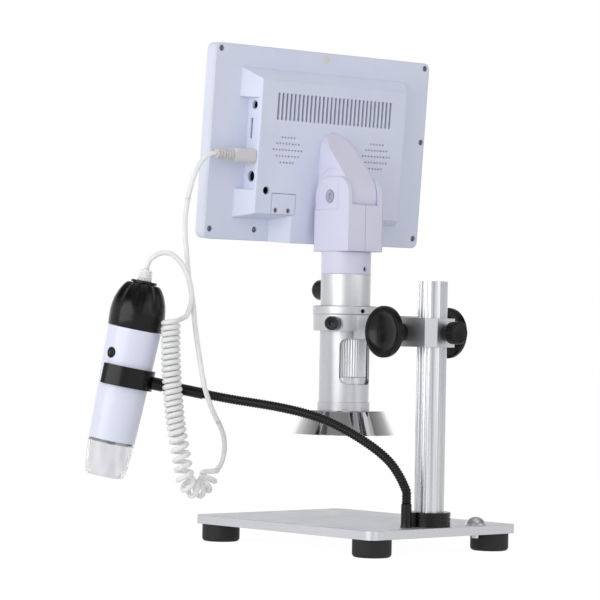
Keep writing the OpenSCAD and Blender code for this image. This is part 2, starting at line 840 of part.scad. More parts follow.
module screen_arm() {
    color("lavender") at_screen() difference() {
        intersection() {
            along_x(-arm_w / 2) rotate([0, 0, 90]) linear_extrude(arm_w) arm_side();
            translate([0, box_n, 0]) along_y(0) mirror([0, 1, 0]) linear_extrude(3 * arm_r) polygon(concat(
                [[-arm_w / 2, -2 * arm_r], [arm_w / 2, -2 * arm_r]],
                [for (a = [0:7.5:180]) [arm_w / 2 * cos(a), arm_arch - arm_w / 2 + arm_w / 2 * sin(a)]]));
        }
        along_x(-arm_w) cylinder(r = hinge_bolt_r + fit, h = 2 * arm_w);
    }
}

// Case shapes: profiles across (x, y) and up (z, y) whose overlap is the raised back
module case_outline(r) {
    translate([0, (case_low + case_high) / 2]) rounded_rect(case_w - 2 * (case_r - r), case_high - case_low - 2 * (case_r - r), r);
}

// Extrude an outline drawn in the case's plane from one depth to another
module case_slab(from, to) {
    translate([0, from, 0]) along_y(0) mirror([0, 1, 0]) linear_extrude(to - from) children();
}

// A trapezoid bar across the case's width, between two heights
module bar_up(crest, foot, low, high, top) {
    translate([0, 0, low]) linear_extrude(high - low) polygon([
        [-foot, seam_n], [foot, seam_n], [foot, border_n], [crest, top], [-crest, top], [-foot, border_n]]);
}

module raised_back(inset) {
    top = box_n - inset;
    intersection() {
        bar_up(crest_w - inset, foot_w - inset, foot_low, foot_high, top);
        along_x(-case_w / 2) rotate([0, 0, 90]) linear_extrude(case_w) polygon([
            [seam_n, foot_low + inset], [seam_n, foot_high - inset], [border_n, foot_high - inset],
            [top, crest_high - inset], [top, crest_low + inset], [border_n, foot_low + inset]]);
    }
    bar_up(spine_crest - inset, spine_foot - inset, case_low + inset, crest_low + 5, top);
}

// One row of the speaker grille
module grille_row(count) {
    for (i = [0:count - 1]) translate([(i - (count - 1) / 2) * grille_pitch, 0])
        circle(r = grille_hole / 2, $fn = 16);
}

module port_cut() {
    block_of([port_wall, border_n, port_low], [case_w / 2 + cut, box_n + cut, port_high]);
}

module back_cover() {
    rows = len(grille_rows);
    color("lavender") at_screen() difference() {
        union() {
            case_slab(seam_n, border_n) case_outline(case_r);
            raised_back(0);
        }
        // Hollow inside, with the port wall left standing
        difference() {
            translate([0, -0.01, 0]) raised_back(case_wall);
            block_of([port_wall - case_wall, seam_n - cut, port_low - case_wall],
                [case_w, box_n, port_high + case_wall]);
            for (b = board_bosses) translate([b.x, 0, b.y]) along_y(board_top) cylinder(r = boss_r, h = 20);
        }
        port_cut();
        for (i = [0:vent_count - 1]) translate([(i - (vent_count - 1) / 2) * vent_pitch, 0, 0])
            block_of([-vent_slot / 2, box_n - case_wall - cut, vent_low], [vent_slot / 2, box_n + cut, vent_high]);
        for (side = [-1, 1]) case_slab(box_n - case_wall - cut, box_n + cut)
            translate([side * speaker_u, speaker_w]) for (k = [0:rows - 1])
                translate([0, (k - (rows - 1) / 2) * grille_row_pitch]) grille_row(grille_rows[k]);
        // Sockets open through the port wall
        port_hole(av_jack) cylinder(r = 3, h = 8);
        port_hole(power_jack) cylinder(r = 3.75, h = 8);
        port_hole(card_slot) translate([-7, -1.1, 0]) cube([14, 2.2, 8]);
        port_hole(usb_port) translate([-4, -2, 0]) cube([8, 4, 8]);
        case_slab(box_n - case_wall - cut, box_n + cut) translate(mode_hole) circle(2.75);
        // Hatch: a sunk seat round a smaller opening
        block_of([hatch[0].x, box_n - hatch_t, hatch[0].y], [hatch[1].x, box_n + cut, hatch[1].y]);
        block_of([hatch[0].x + 1.5, box_n - 5, hatch[0].y + 5.5], [hatch[1].x - 1.5, box_n, hatch[1].y - 1.5]);
        for (p = hatch_screws) case_slab(box_n - 5, box_n) translate(p) circle(r = 0.8 + fit, $fn = 24);
        for (p = case_screws) {
            case_slab(border_n - 1.2, border_n + cut) translate(p) circle(case_screw_r + 0.15);
            case_slab(seam_n - cut, border_n) translate(p) circle(r = 1.1, $fn = 24);
        }
    }
}

// A hole along the hinge's direction through the port wall, at a socket's place
module port_hole(place) {
    translate([port_wall - 5, place[1], place[0]]) rotate([0, 90, 0]) children();
}

module front_frame() {
    low = picture_mid - picture_h / 2;
    color("white") at_screen() difference() {
        case_slab(front_n, seam_n) case_outline(case_r);
        difference() {
            case_slab(front_n + front_wall, seam_n + cut) case_outline(case_r - case_wall);
            for (p = case_screws) case_slab(front_n, seam_n) translate(p) circle(3.4);
            for (side = [-1, 1]) case_slab(front_n, key_board_n) translate([side * 60, key_z]) circle(2.5);
        }
        block_of([-picture_w / 2, front_n - cut, low], [picture_w / 2, front_n + 4, low + picture_h]);
        for (i = [0:key_count - 1]) translate([key_x(i), 0, key_z])
            block_of([-key_w / 2 - 0.2, front_n - cut, -key_h / 2 - 0.2], [key_w / 2 + 0.2, front_n + 4, key_h / 2 + 0.2]);
        for (p = case_screws) case_slab(seam_n - 6, seam_n + cut) translate(p) circle(r = 0.9 + fit, $fn = 24);
    }
}

module screen_panel() {
    from = front_n + front_wall;
    margin = 3.6;
    color("dimgray") at_screen() translate([0, 0, picture_mid]) {
        block_of([-picture_w / 2 - margin, from, -picture_h / 2 - margin],
            [picture_w / 2 + margin, from + screen_t, picture_h / 2 + margin]);
        block_of([-12, from + screen_t, -picture_h / 2], [12, from + screen_t + 0.4, -picture_h / 2 + 20]);
    }
}

module main_board() {
    color("green") at_screen() {
        difference() {
            block_of([-52, board_n, -2], [crest_w - case_wall - gap, board_top, 66]);
            for (b = board_bosses) translate([b.x, 0, b.y]) along_y(board_n - cut) cylinder(r = 1.2, h = 5, $fn = 24);
        }
        // Sockets, with their mouths at the port wall
        socket(av_jack, [13, 7, 7]) cylinder(r = 1.8, h = 20);
        socket(power_jack, [14, 9, 7]) difference() {
            cylinder(r = 2.9, h = 20);
            cylinder(r = 1, h = 9);
        }
        socket(card_slot, [18, 16, 2.8]) translate([-6.5, -0.7, 0]) cube([13, 1.4, 20]);
        socket(usb_port, [7.8, 9, 5]) translate([-3.5, -1.6, 0]) cube([7, 3.2, 20]);
        block_of([-14, board_top, 12], [10, board_top + 1.6, 36]);
        block_of([24, board_n - 1.4, 14], [44, board_n, 30]);
    }
}

// A socket on the board: its size is [length, width, height], its mouth faces the port wall
module socket(place, size) {
    mouth = crest_w - case_wall - gap;
    difference() {
        block_of([mouth - size[0], board_top, place[0] - size[1] / 2],
            [mouth, place[1] + size[2] / 2, place[0] + size[1] / 2]);
        translate([mouth - size[0] + 2, place[1], place[0]]) rotate([0, 90, 0]) children();
    }
}

// Keys in the lower frame, each in front of its own switch
key_board_n = front_n + 7.5;
function key_x(i) = (i - (key_count - 1) / 2) * key_pitch;

module key_board() {
    switch_top = front_n + front_wall + 1 + key_travel + 0.2;
    color("darkgreen") at_screen() {
        block_of([-64, key_board_n, key_z - 5], [64, key_board_n + 1.5, key_z + 5]);
        for (i = [0:key_count - 1]) {
            translate([key_x(i), switch_top, key_z]) rotate([-90, 0, 0])
                cylinder(r = 1.6, h = key_board_n - switch_top, $fn = 24);
            block_of([key_x(i) - 3, key_board_n - 2, key_z - 3], [key_x(i) + 3, key_board_n, key_z + 3]);
        }
    }
}

module key(i) {
    edge = 1;
    color("gray") at_screen() translate([key_x(i), 0, key_z]) {
        case_slab(front_n - 0.9, front_n + front_wall) rounded_rect(key_w, key_h, edge);
        case_slab(front_n + front_wall, front_n + front_wall + 1) rounded_rect(key_w + 2, key_h + 2, edge);
    }
}

module key_1() { key(0); }
module key_2() { key(1); }
module key_3() { key(2); }
module key_4() { key(3); }
module key_5() { key(4); }
module key_6() { key(5); }

module speakers() {
    front = box_n - case_wall - 0.2;
    color("dimgray") at_screen() for (side = [-1, 1]) translate([side * speaker_u, 0, speaker_w]) {
        translate([0, front - 2, 0]) along_y(0) cylinder(r = speaker_r, h = 2);
        translate([0, front - 5, 0]) along_y(0) cylinder(r = 8, h = 3);
    }
}

module battery_hatch() {
    slack = 0.25;
    color("lavender") at_screen() difference() {
        block_of([hatch[0].x + slack, box_n - hatch_t, hatch[0].y], [hatch[1].x - slack, box_n, hatch[1].y - slack]);
        for (p = hatch_screws) {
            case_slab(box_n - 0.9, box_n + cut) translate(p) circle(1.7);
            case_slab(box_n - 3, box_n + cut) translate(p) circle(r = 0.9, $fn = 24);
        }
    }
}

module case_screw_set() {
    color("dimgray") at_screen() {
        for (p = case_screws) translate([p.x, border_n - 1.2, p.y]) rotate([-90, 0, 0])
            pan_screw(0.9, 5.5, case_screw_r, 1.1);
        for (p = hatch_screws) translate([p.x, box_n - 0.9, p.y]) rotate([-90, 0, 0])
            pan_screw(0.8, 2.2, 1.5, 0.8);
    }
}

// Lead: a moulded plug that narrows to a ribbed relief
module usb_plug() {
    nose = 6;
    shoulder = 4.5;
    pitch = relief_len / 6;
    color("gainsboro") at_screen() translate([port_wall, usb_port[1], usb_port[0]])
        rotate([0, 90, 0]) {
            translate([0, 0, gap]) linear_extrude(plug_len - shoulder - gap) rounded_rect(9.6, 8, 2.5);
            intersection() {
                translate([0, 0, plug_len - shoulder]) linear_extrude(shoulder) rounded_rect(9.6, 8, 2.5);
                translate([0, 0, plug_len - shoulder]) cylinder(r1 = 5.6, r2 = 3.8, h = shoulder);
            }
            translate([-3.4, -1.5, gap - nose]) cube([6.8, 3, nose]);
            rotate_extrude() polygon(concat([[0, plug_len - 1], [3, plug_len - 1]],
                [for (i = [0:5]) each let (z = plug_len + i * pitch, r = 3.8 - i * 0.15)
                    [[r - 0.7, z], [r - 0.7, z + 0.7], [r, z + 0.8], [r, z + pitch - 0.1]]],
                [[2.4, plug_len + relief_len], [0, plug_len + relief_len]]));
        }
}

// Lines through space: a smooth curve through points, measured along its length
function spline_point(a, b, c, d, t) =
    0.5 * (2 * b + (c - a) * t + (2 * a - 5 * b + 4 * c - d) * t * t + (3 * b - a - 3 * c + d) * t * t * t);

function spline(p, steps) = [
    for (i = [0:len(p) - 2]) for (k = [0:steps - 1])
        spline_point(p[max(i - 1, 0)], p[i], p[i + 1], p[min(i + 2, len(p) - 1)], k / steps),
    p[len(p) - 1]];

// The same with its first and last stretches straight
function run(p, steps) = let (n = len(p) - 1) concat([p[0]],
    [for (i = [1:n - 2]) for (k = [0:steps - 1]) spline_point(p[i - 1], p[i], p[i + 1], p[i + 2], k / steps)],
    [p[n - 1], p[n]]);

function lengths(p) = [for (i = 0, s = 0; i < len(p);
    s = s + (i < len(p) - 1 ? norm(p[i + 1] - p[i]) : 0), i = i + 1) s];

function along(p, s_list) = let (s = lengths(p),
    tables = [for (axis = [0:2]) [for (i = [0:len(p) - 1]) [s[i], p[i][axis]]]])
    [for (at = s_list) [for (axis = [0:2]) lookup(at, tables[axis])]];

function unit(v) = v / norm(v);
function headings(p) = [for (i = [0:len(p) - 1]) unit(p[min(i + 1, len(p) - 1)] - p[max(i - 1, 0)])];
function squared(v, heading) = unit(v - (v * heading) * heading);

// Side vectors that turn no more than the line does
function sides_along(t, first) = [for (i = 0, n = squared(first, t[0]); i < len(t);
    n = i < len(t) - 1 ? squared(n, t[i + 1]) : n, i = i + 1) n];

// Points of the rings round a line, radius by radius
function rings(p, radii, count, first) = let (t = headings(p), n = sides_along(t, first))
    [for (i = [0:len(p) - 1]) let (b = cross(t[i], n[i])) for (k = [0:count - 1])
        p[i] + radii[i] * (cos(360 * k / count) * n[i] + sin(360 * k / count) * b)];

function wall_faces(ring_count, count, base, inward) = [
    for (i = [0:ring_count - 2]) for (k = [0:count - 1])
        let (a = base + i * count + k, b = base + i * count + (k + 1) % count)
        each (inward ? [[a, b, b + count], [a, b + count, a + count]]
            : [[a, b + count, b], [a, a + count, b + count]])];

// A plain tube along a line
module cord(p, r, count, first) {
    n = len(p);
    last = (n - 1) * count;
    polyhedron(rings(p, [for (i = [0:n - 1]) r], count, first),
        concat(wall_faces(n, count, 0, false),
            [for (k = [1:count - 2]) [0, k, k + 1]],
            [for (k = [1:count - 2]) [last, last + k + 1, last + k]]));
}

// A tube with ribs outside and a bore inside, as one closed skin
module ribbed_tube(outer, inner, radii, bore, count, first) {
    n = len(outer);
    m = len(inner);
    base = n * count;
    points = concat(rings(outer, radii, count, first), rings(inner, [for (i = [0:m - 1]) bore], count, first));
    last_outer = (n - 1) * count;
    last_inner = base + (m - 1) * count;
    polyhedron(points, concat(wall_faces(n, count, 0, false), wall_faces(m, count, base, true),
        [for (k = [0:count - 1]) let (j = (k + 1) % count) each
            [[k, j, base + j], [k, base + j, base + k]]],
        [for (k = [0:count - 1]) let (j = (k + 1) % count) each
            [[last_outer + k, last_inner + j, last_outer + j], [last_outer + k, last_inner + k, last_inner + j]]]));
}

// Places in the gooseneck's frame of a point given in the handheld's or the screen's frame
function from_hand(p) = [hand_reach + p.x * cos(hand_lean) - p.z * sin(hand_lean), p.y,
    hand_height + p.x * sin(hand_lean) + p.z * cos(hand_lean)];

function from_screen(p) = let (
    y = p.y * cos(screen_tilt) + p.z * sin(screen_tilt) - hinge_setback,
    z = p.z * cos(screen_tilt) - p.y * sin(screen_tilt) + hinge_z,
    level = turned([p.x, y], head_turn) + [0, scope_y] - [neck_x, neck_y],
    q = turned(level, -neck_az)) [q.x, q.y, z];

neck_start = [0, 0, plate_top + socket_h];
neck_end = from_hand([-sleeve_end, 0, sleeve_drop]);
neck_points = concat([neck_start, neck_start + [0, 0, neck_d]], neck_route,
    [for (out = [1, 0]) from_hand([-sleeve_end - out * neck_d, 0, sleeve_drop])]);

module gooseneck() {
    rib_depth = 0.35;
    bore = 1.2;
    count = 8;
    line = run(neck_points, 12);
    length = lengths(line)[len(line) - 1];
    outer = along(line, [for (i = [0:2 * neck_ribs]) length * i / (2 * neck_ribs)]);
    inner = along(line, [for (i = [0:24]) length * i / 24]);
    radii = [for (i = [0:2 * neck_ribs]) i % 2 == 0 ? neck_d / 2 - rib_depth : neck_d / 2];
    color("black") at_gooseneck() ribbed_tube(outer, inner, radii, bore, count, [0, 1, 0]);
}

module gooseneck_socket() {
    color("black") translate([neck_x, neck_y, 0]) {
        rotate_extrude() polygon([[0, plate_top], [socket_r + 0.5, plate_top], [socket_r, plate_top + 2],
            [socket_r, plate_top + socket_h - 0.8], [socket_r - 0.5, plate_top + socket_h], [0, plate_top + socket_h]]);
        disc(2.5, foot_h, plate_top);
    }
}

// Curly lead: the curls follow a line that hangs, turns at the bottom and starts up again
coil_bend = [for (a = [20:22.5:turn_sweep]) [
    turn_mid.x + turn_r * cos(turn_az) * cos(a), turn_mid.y + turn_r * sin(turn_az) * cos(a), turn_z - turn_r * sin(a)]];
coil_line = spline(concat(coil_route, coil_bend), 8);
coil_length = lengths(coil_line)[len(coil_line) - 1];
curl_rings = 8;
coil_rings = curl_rings * curls + 2;
curl_r = (coil_d - lead_d) / 2;
bend_share = 0.62;
bend_spread = 0.65;

// Curls stand further apart where the line bends
function spread_at(f) = 1 + bend_spread * min(1, max(0, (f - bend_share) / 0.08));
coil_weights = [for (i = [0:coil_rings - 1]) spread_at(i / coil_rings)];
coil_sum = lengths([for (i = 0, s = 0; i <= coil_rings; s = s + (i < coil_rings ? coil_weights[i] : 0), i = i + 1) [s, 0, 0]]);
coil_places = [for (s = coil_sum) s * coil_length / coil_sum[coil_rings]];
coil_mid = along(coil_line, coil_places);
coil_heads = headings(coil_mid);
coil_sides = sides_along(coil_heads, [-1, 0, 0]);
helix = [for (i = [0:coil_rings]) let (a = 360 * i / curl_rings, n = coil_sides[i], b = cross(n, coil_heads[i]))
    coil_mid[i] + curl_r * (cos(a) * n - sin(a) * b)];
helix_in = unit(helix[0] - helix[1]);
helix_out = unit(helix[coil_rings] - helix[coil_rings - 1]);
coil_start = helix[0] + lead_d * helix_in;
coil_end = helix[coil_rings] + lead_d * helix_out;
coil_path = concat([coil_start], helix, [coil_end]);

// Least clear distance between two turns, measured between ring centres half a curl or more apart
coil_self_gap = min([for (i = [0:coil_rings]) for (k = [i + 5:1:coil_rings]) norm(helix[i] - helix[k])]) - lead_d;
echo(coil_self_gap = coil_self_gap, coil_length = coil_length, curl_pitch = coil_places[curl_rings],
    lead_length = lengths(coil_path)[len(coil_path) - 1]);

module lead_coil() {
    color("white") at_gooseneck() cord(coil_path, lead_d / 2, 6, [0, 0, 1]);
}

// The ribbed relief moulded on the lead's end, and the loop over the top from it to the curls
relief_low = wheel_top + gap + cap_t;
hand_end = relief_low + hand_relief_len;
loop_points = concat([for (out = [0, 1]) from_hand([0, 0, hand_end + out * lead_d])], loop_route,
    [for (out = [1, 0]) coil_start + out * lead_d * helix_in]);

module hand_relief() {
    pitch = hand_relief_len / 4;
    core = lead_d / 2 - 0.3;
    rotate_extrude() polygon(concat([[0, relief_low]],
        [for (i = [0:3]) each let (z = relief_low + i * pitch, r = 5 - i * 0.3)
            [[r, z], [r, z + 1.2], [r - 0.8, z + 1.3], [r - 0.8, z + pitch]]],
        [[core, hand_end], [core, hand_end + 0.6], [0, hand_end + 0.6]]));
}

module lead_loop() {
    color("white") {
        at_hand() hand_relief();
        at_gooseneck() cord(run(loop_points, 2), lead_d / 2, 8, [0, 1, 0]);
    }
}

// The free stretch from the curls up to the plug
plug_end = port_wall + plug_len + relief_len;
drop_points = concat([for (out = [0, 1]) coil_end + out * lead_d * helix_out], drop_route,
    [for (out = [1, 0]) from_screen([plug_end + out * lead_d, usb_port[1], usb_port[0]])]);

module lead_drop() {
    color("white") at_gooseneck() cord(run(drop_points, 2), lead_d / 2, 8, [0, 1, 0]);
}

// Handheld microscope
function hand_r(s) = (hand_d_low + (hand_d_high - hand_d_low) * (s - hand_low) / hand_body_h) / 2;

module hand_clip() {
    low = -clip_h / 2;
    high = clip_h / 2;
    reach = 3 * clip_r;
    half = clip_gap_angle / 2;
    color("black") at_hand() {
        difference() {
            union() {
                disc(clip_r, low, high);
                translate([0, 0, sleeve_drop]) along_x(-stub_end) cylinder(r = stub_r, h = stub_end - clip_r + 2);
            }
            translate([0, 0, low - cut]) cylinder(r1 = hand_r(low - cut) + gap, r2 = hand_r(high + cut) + gap,
                h = clip_h + 2 * cut);
            translate([0, 0, low - cut]) linear_extrude(clip_h + 2 * cut)
                polygon([[0, 0], reach * [cos(half), -sin(half)], reach * [cos(half), sin(half)]]);
        }
        translate([0, 0, sleeve_drop]) along_x(-sleeve_end) cylinder(r = sleeve_r, h = sleeve_end - stub_end);
    }
}

module hand_body() {
    color("white") at_hand() difference() {
        translate([0, 0, hand_low]) cylinder(r1 = hand_r(hand_low), r2 = hand_r(hand_high), h = hand_body_h);
        translate([0, 0, hand_low - cut]) cylinder(r1 = hand_r(hand_low - cut) - hand_wall,
            r2 = hand_r(hand_high + cut) - hand_wall, h = hand_body_h + 2 * cut);
        rotate([0, 0, button_az]) translate([0, 0, button_s]) along_x(8) cylinder(r = button_r + 0.15, h = 20);
    }
}

module hand_nozzle() {
    end = hand_low - nozzle_len;
    r0 = hand_r(hand_low);
    wall = nozzle_wall;
    color("lightcyan") at_hand() rotate_extrude() polygon([
        [r0 - 2.25 - wall, hand_low + 4], [r0 - 2.25, hand_low + 4], [r0 - 2.25, hand_low], [r0, hand_low],
        [r0 - 1.2, hand_low - 0.7 * nozzle_len], [r0 - 2, end + 3.5], [r0 - 3, end + 1], [r0 - 4.2, end],
        [r0 - 4.2 - wall, end], [r0 - 3.8 - wall, end + 2], [r0 - 2.8 - wall, end + 4.5],
        [r0 - 1.2 - wall, hand_low - 0.7 * nozzle_len + 1], [r0 - 0.6 - wall, hand_low - 2],
        [r0 - 2.25 - wall, hand_low]]);
}

module hand_lens() {
    top = hand_low + 4;
    color("black") at_hand() rotate_extrude() polygon([
        [0, top], [8, top], [8, hand_low + 0.6], [3.2, hand_low + 0.4], [3, hand_low - 0.4],
        [1.6, hand_low - 2.8], [0, hand_low - 2.8]]);
}

module hand_lamps() {
    seat = hand_low + 4;
    ring = hand_r(hand_low) - 5.1;
    color("gainsboro") at_hand() {
        disc(hand_r(seat) - hand_wall - 0.15, seat, seat + 1.6);
        for (i = [0:7]) rotate([0, 0, 45 * i]) translate([ring, 0, seat - 2.4]) cylinder(r = 1.1, h = 3, $fn = 24);
    }
}

module hand_board() {
    face = hand_r(button_s) - hand_wall - 4.8;
    color("green") at_hand() rotate([0, 0, button_az]) {
        block_of([face - 1.6, -9, -20], [face, 9, 28]);
        block_of([face, -3, button_s - 3], [face + 1.2, 3, button_s + 3]);
        translate([0, 0, button_s]) along_x(face + 1) cylinder(r = 1.6, h = 1.3, $fn = 24);
    }
}

// Core: a flange in the body's top, a post for the wheel and a cap
module hand_core() {
    flange = hand_r(hand_high - 2.5) - hand_wall - 0.15;
    cap = wheel_top + gap;
    color("black") at_hand() {
        disc(flange, hand_high - 2.5, hand_high);
        disc(core_r, hand_high, cap);
        disc(cap_r, cap, cap + cap_t);
    }
}

// Wheel: a pointed dome with finger grooves that deepen towards its top
module hand_wheel() {
    low = hand_high + gap;
    high = wheel_top - low;
    skin = [[17.95, 0], [18.3, 5], [18.5, 10], [18.2, 15], [17.4, 19], [15.9, 23], [14.1, 26.5],
        [12.3, 29], [10.8, 30.1], [10, high]];
    groove_r = 3.2;
    depth = [0, 0, -0.3, 0.5, 0.9, 1.2, 1.35, 1.4, 1.4, 1.4];
    // Middle of the groove's ball at each point of the skin, measured square to the skin
    balls = [for (i = [2:8]) let (edge = skin[i + 1] - skin[i - 1], out = [edge.y, -edge.x] / norm(edge))
        skin[i] + (groove_r - depth[i]) * out];
    color("black") at_hand() translate([0, 0, low]) difference() {
        rotate_extrude() polygon(concat([[0, 0]], skin, [[0, high]]));
        for (turn = [0:wheel_lobes - 1]) rotate(turn * 360 / wheel_lobes) for (i = [0:5]) hull()
            for (ball = [balls[i], balls[i + 1]])
                translate([ball.x, 0, ball.y]) sphere(groove_r, $fn = 20);
        disc(core_r + fit, -cut, high + cut);
        disc(13.5, -cut, wheel_ring_h + 4 - gap);
    }
}

module hand_button() {
    inner = hand_r(button_s) - hand_wall - 1.5;
    color("black") at_hand() rotate([0, 0, button_az]) translate([0, 0, button_s]) along_x(0) {
        disc(button_r, inner, hand_r(button_s) + 0.2);
        disc(button_r + 0.8, inner, inner + 0.7);
    }
}

base_plate();
feet();
foot_screws();
post();
rack();
post_collar();
post_bolt();
dome_screw();
gooseneck_socket();
gooseneck();
carriage();
shaft_bushes();
pinion_shaft();
focus_knob_right();
focus_knob_left();
lock_knob();
ring_clamp_screw();
tube();
stop_band();
set_screws();
magnification_dial();
lens_cell();
objective_lens();
sensor_board();
lamp_skirt();
lamp_ring();
dimmer();
dimmer_knob();
neck_collar();
yoke_left();
yoke_right();
hinge_bolt();
screen_arm();
back_cover();
front_frame();
screen_panel();
main_board();
key_board();
speakers();
battery_hatch();
case_screw_set();
key_1();
key_2();
key_3();
key_4();
key_5();
key_6();
usb_plug();
lead_drop();
lead_coil();
lead_loop();
hand_clip();
hand_body();
hand_nozzle();
hand_lens();
hand_lamps();
hand_board();
hand_core();
hand_wheel();
hand_button();
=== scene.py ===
# %% [markdown]
# A digital microscope on a stand, with its own tilting screen, a curly lead and a handheld microscope
# on a gooseneck. The exact shapes come from a imported CAD model that never moves. This lesson gives
# each part its real finish, and makes in Blender what CAD only stands in for: the leads, the ribbed
# gooseneck, the turned and fluted grips and the thumbscrew.

# %% Load the imported model
import bpy
import json
import numpy as np
from math import radians, sin, cos, pi
from mathutils import Matrix, Vector

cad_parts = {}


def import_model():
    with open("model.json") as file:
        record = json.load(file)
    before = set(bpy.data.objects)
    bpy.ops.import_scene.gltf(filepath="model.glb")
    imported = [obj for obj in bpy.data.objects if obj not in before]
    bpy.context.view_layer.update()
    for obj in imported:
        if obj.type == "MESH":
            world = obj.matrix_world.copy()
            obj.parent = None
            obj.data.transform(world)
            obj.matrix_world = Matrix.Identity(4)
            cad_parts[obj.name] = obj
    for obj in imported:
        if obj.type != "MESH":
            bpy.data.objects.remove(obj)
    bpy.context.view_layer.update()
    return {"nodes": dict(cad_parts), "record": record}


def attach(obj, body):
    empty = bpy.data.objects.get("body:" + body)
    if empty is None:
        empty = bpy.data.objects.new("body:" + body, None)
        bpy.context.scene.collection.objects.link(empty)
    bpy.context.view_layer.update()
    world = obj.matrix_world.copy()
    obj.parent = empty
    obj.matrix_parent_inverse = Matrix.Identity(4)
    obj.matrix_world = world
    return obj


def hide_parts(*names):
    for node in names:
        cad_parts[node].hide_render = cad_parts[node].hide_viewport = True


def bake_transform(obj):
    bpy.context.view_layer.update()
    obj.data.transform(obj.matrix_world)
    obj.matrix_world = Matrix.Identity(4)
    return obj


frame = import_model()
nodes = frame["nodes"]

# %% [markdown]
# The microscope is built from pieces that lean and turn, so each has its own frame. Writing those frames
# once, as matrices in metres, lets every later piece be described in its own upright, centred way:
# the tube stands straight in its frame, and the handheld's axis is Z in its frame.

# %% Frames of the tube, the screen, the gooseneck and the handheld
MM = 0.001
TUBE_Y = -12.8
SCREEN_HINGE = (0, -1.5, 240)
NECK_FOOT = (22, 73, 0)
HAND_MIDDLE = (188.1, 0, 114.5)


def frame_at(x, y, z, degrees, axis):
    """A frame moved by millimetres and turned about one of its axes."""
    return Matrix.Translation((x * MM, y * MM, z * MM)) @ Matrix.Rotation(radians(degrees), 4, axis)


TUBE = frame_at(0, TUBE_Y, 0, -4.3, "Z")
SCREEN = TUBE @ frame_at(*SCREEN_HINGE, -4.7, "X")
NECK = frame_at(*NECK_FOOT, -43, "Z")
HAND = NECK @ frame_at(*HAND_MIDDLE, -10.5, "Y")


def in_mm(frame_matrix, x, y, z):
    """A point given in millimetres in one of the frames, as a world point in metres."""
    return frame_matrix @ Vector((x * MM, y * MM, z * MM))


# %% [markdown]
# The camera stands far back with a long lens, as in a product photograph, so that the screen's edges stay
# almost parallel. The angles come from matching straight edges in the photograph.

# %% Camera
camera_data = bpy.data.cameras.new("photo_camera")
camera_data.sensor_width = 36
camera_data.lens = 156
camera_data.shift_x = -0.02268
camera_data.shift_y = 0.00523
camera_data.clip_end = 20
camera = bpy.data.objects.new("photo_camera", camera_data)
camera.location = (1.23489, 1.29617, 0.14322)
camera.rotation_euler = (radians(90.731), radians(-1.0999), radians(137.3547))
bpy.context.scene.collection.objects.link(camera)
bpy.context.scene.camera = camera
print("camera", [round(v, 3) for v in camera.location])

# %% [markdown]
# Node trees are easier to read when one small function adds a node with its settings and its inputs.
# An input is either a plain value or the output of another node, which is then linked. Two shorter ones
# cover the nodes that come most often, for arithmetic and for carrying a value to another range.

# %% Helpers that add nodes
def add(tree, kind, inputs=None, **settings):
    """Adds a node, sets its properties, and fills or links its inputs."""
    made = tree.nodes.new(kind)
    for name, value in settings.items():
        setattr(made, name, value)
    for name, value in (inputs or {}).items():
        socket = made.inputs[name]
        if isinstance(value, bpy.types.NodeSocket):
            tree.links.new(value, socket)
        else:
            socket.default_value = value
    return made


def calc(tree, operation, *values):
    """A Math node on one to three values; returns its result."""
    return add(tree, "ShaderNodeMath", dict(enumerate(values)), operation=operation).outputs[0]


def spread(tree, value, source, target, **settings):
    """The value carried over from one range to another."""
    return add(tree, "ShaderNodeMapRange", {
        "Value": value, "From Min": source[0], "From Max": source[1],
        "To Min": target[0], "To Max": target[1]}, **settings).outputs["Result"]


def paint(hex_colour):
    """An sRGB colour such as #C9C9CE as the linear colour that shaders use."""
    parts = [int(hex_colour[i:i + 2], 16) / 255 for i in (1, 3, 5)]
    linear = [p / 12.92 if p <= 0.04045 else ((p + 0.055) / 1.055) ** 2.4 for p in parts]
    return (*linear, 1.0)


print("grey", [round(v, 3) for v in paint("#808080")])

# %% [markdown]
# Every finish starts the same way: an empty material with one Principled shader. Moulded and turned
# edges are never razor sharp, so each finish also rounds the edges that light sees with a Bevel node,
# a fraction of a millimetre wide, and lays its surface texture on top as a bump.

# %% Start a finish
def new_finish(name, colour, metallic, roughness, edge=0.4, **more):
    """A material with a Principled shader and softened edges; returns material, tree, shader, normal."""
    made = bpy.data.materials.new(name)
    made.use_nodes = True
    tree = made.node_tree
    tree.nodes.clear()
    rounded = add(tree, "ShaderNodeBevel", {"Radius": edge * MM}, samples=6)
    shader = add(tree, "ShaderNodeBsdfPrincipled", {
        "Base Color": paint(colour), "Metallic": metallic, "Roughness": roughness,
        "Normal": rounded.outputs["Normal"], **more})
    add(tree, "ShaderNodeOutputMaterial", {"Surface": shader.outputs["BSDF"]})
    made.diffuse_color = paint(colour)
    return made, tree, shader, rounded


def object_place(tree, stretch=(1, 1, 1)):
    """Object coordinates in metres, stretched so that a pattern can run along one direction."""
    place = add(tree, "ShaderNodeTexCoord")
    return add(tree, "ShaderNodeMapping", {
        "Vector": place.outputs["Object"], "Scale": stretch}).outputs["Vector"]


def grain(tree, size_mm, stretch=(1, 1, 1), detail=2.0):
    """A noise whose spots are about size_mm across; returns its factor."""
    return add(tree, "ShaderNodeTexNoise", {
        "Vector": object_place(tree, stretch), "Scale": 1 / (size_mm * MM),
        "Detail": detail, "Roughness": 0.5}).outputs["Fac"]


def between(tree, factor, low, high):
    """A noise's factor, which lies mostly from 0.3 to 0.7, carried over to low to high."""
    return spread(tree, factor, (0.3, 0.7), (low, high))


def tint(tree, factor, dark, light):
    """A colour between two sRGB values."""
    return add(tree, "ShaderNodeMix", {
        "Factor": factor, "A": paint(dark), "B": paint(light)}, data_type="RGBA").outputs["Result"]


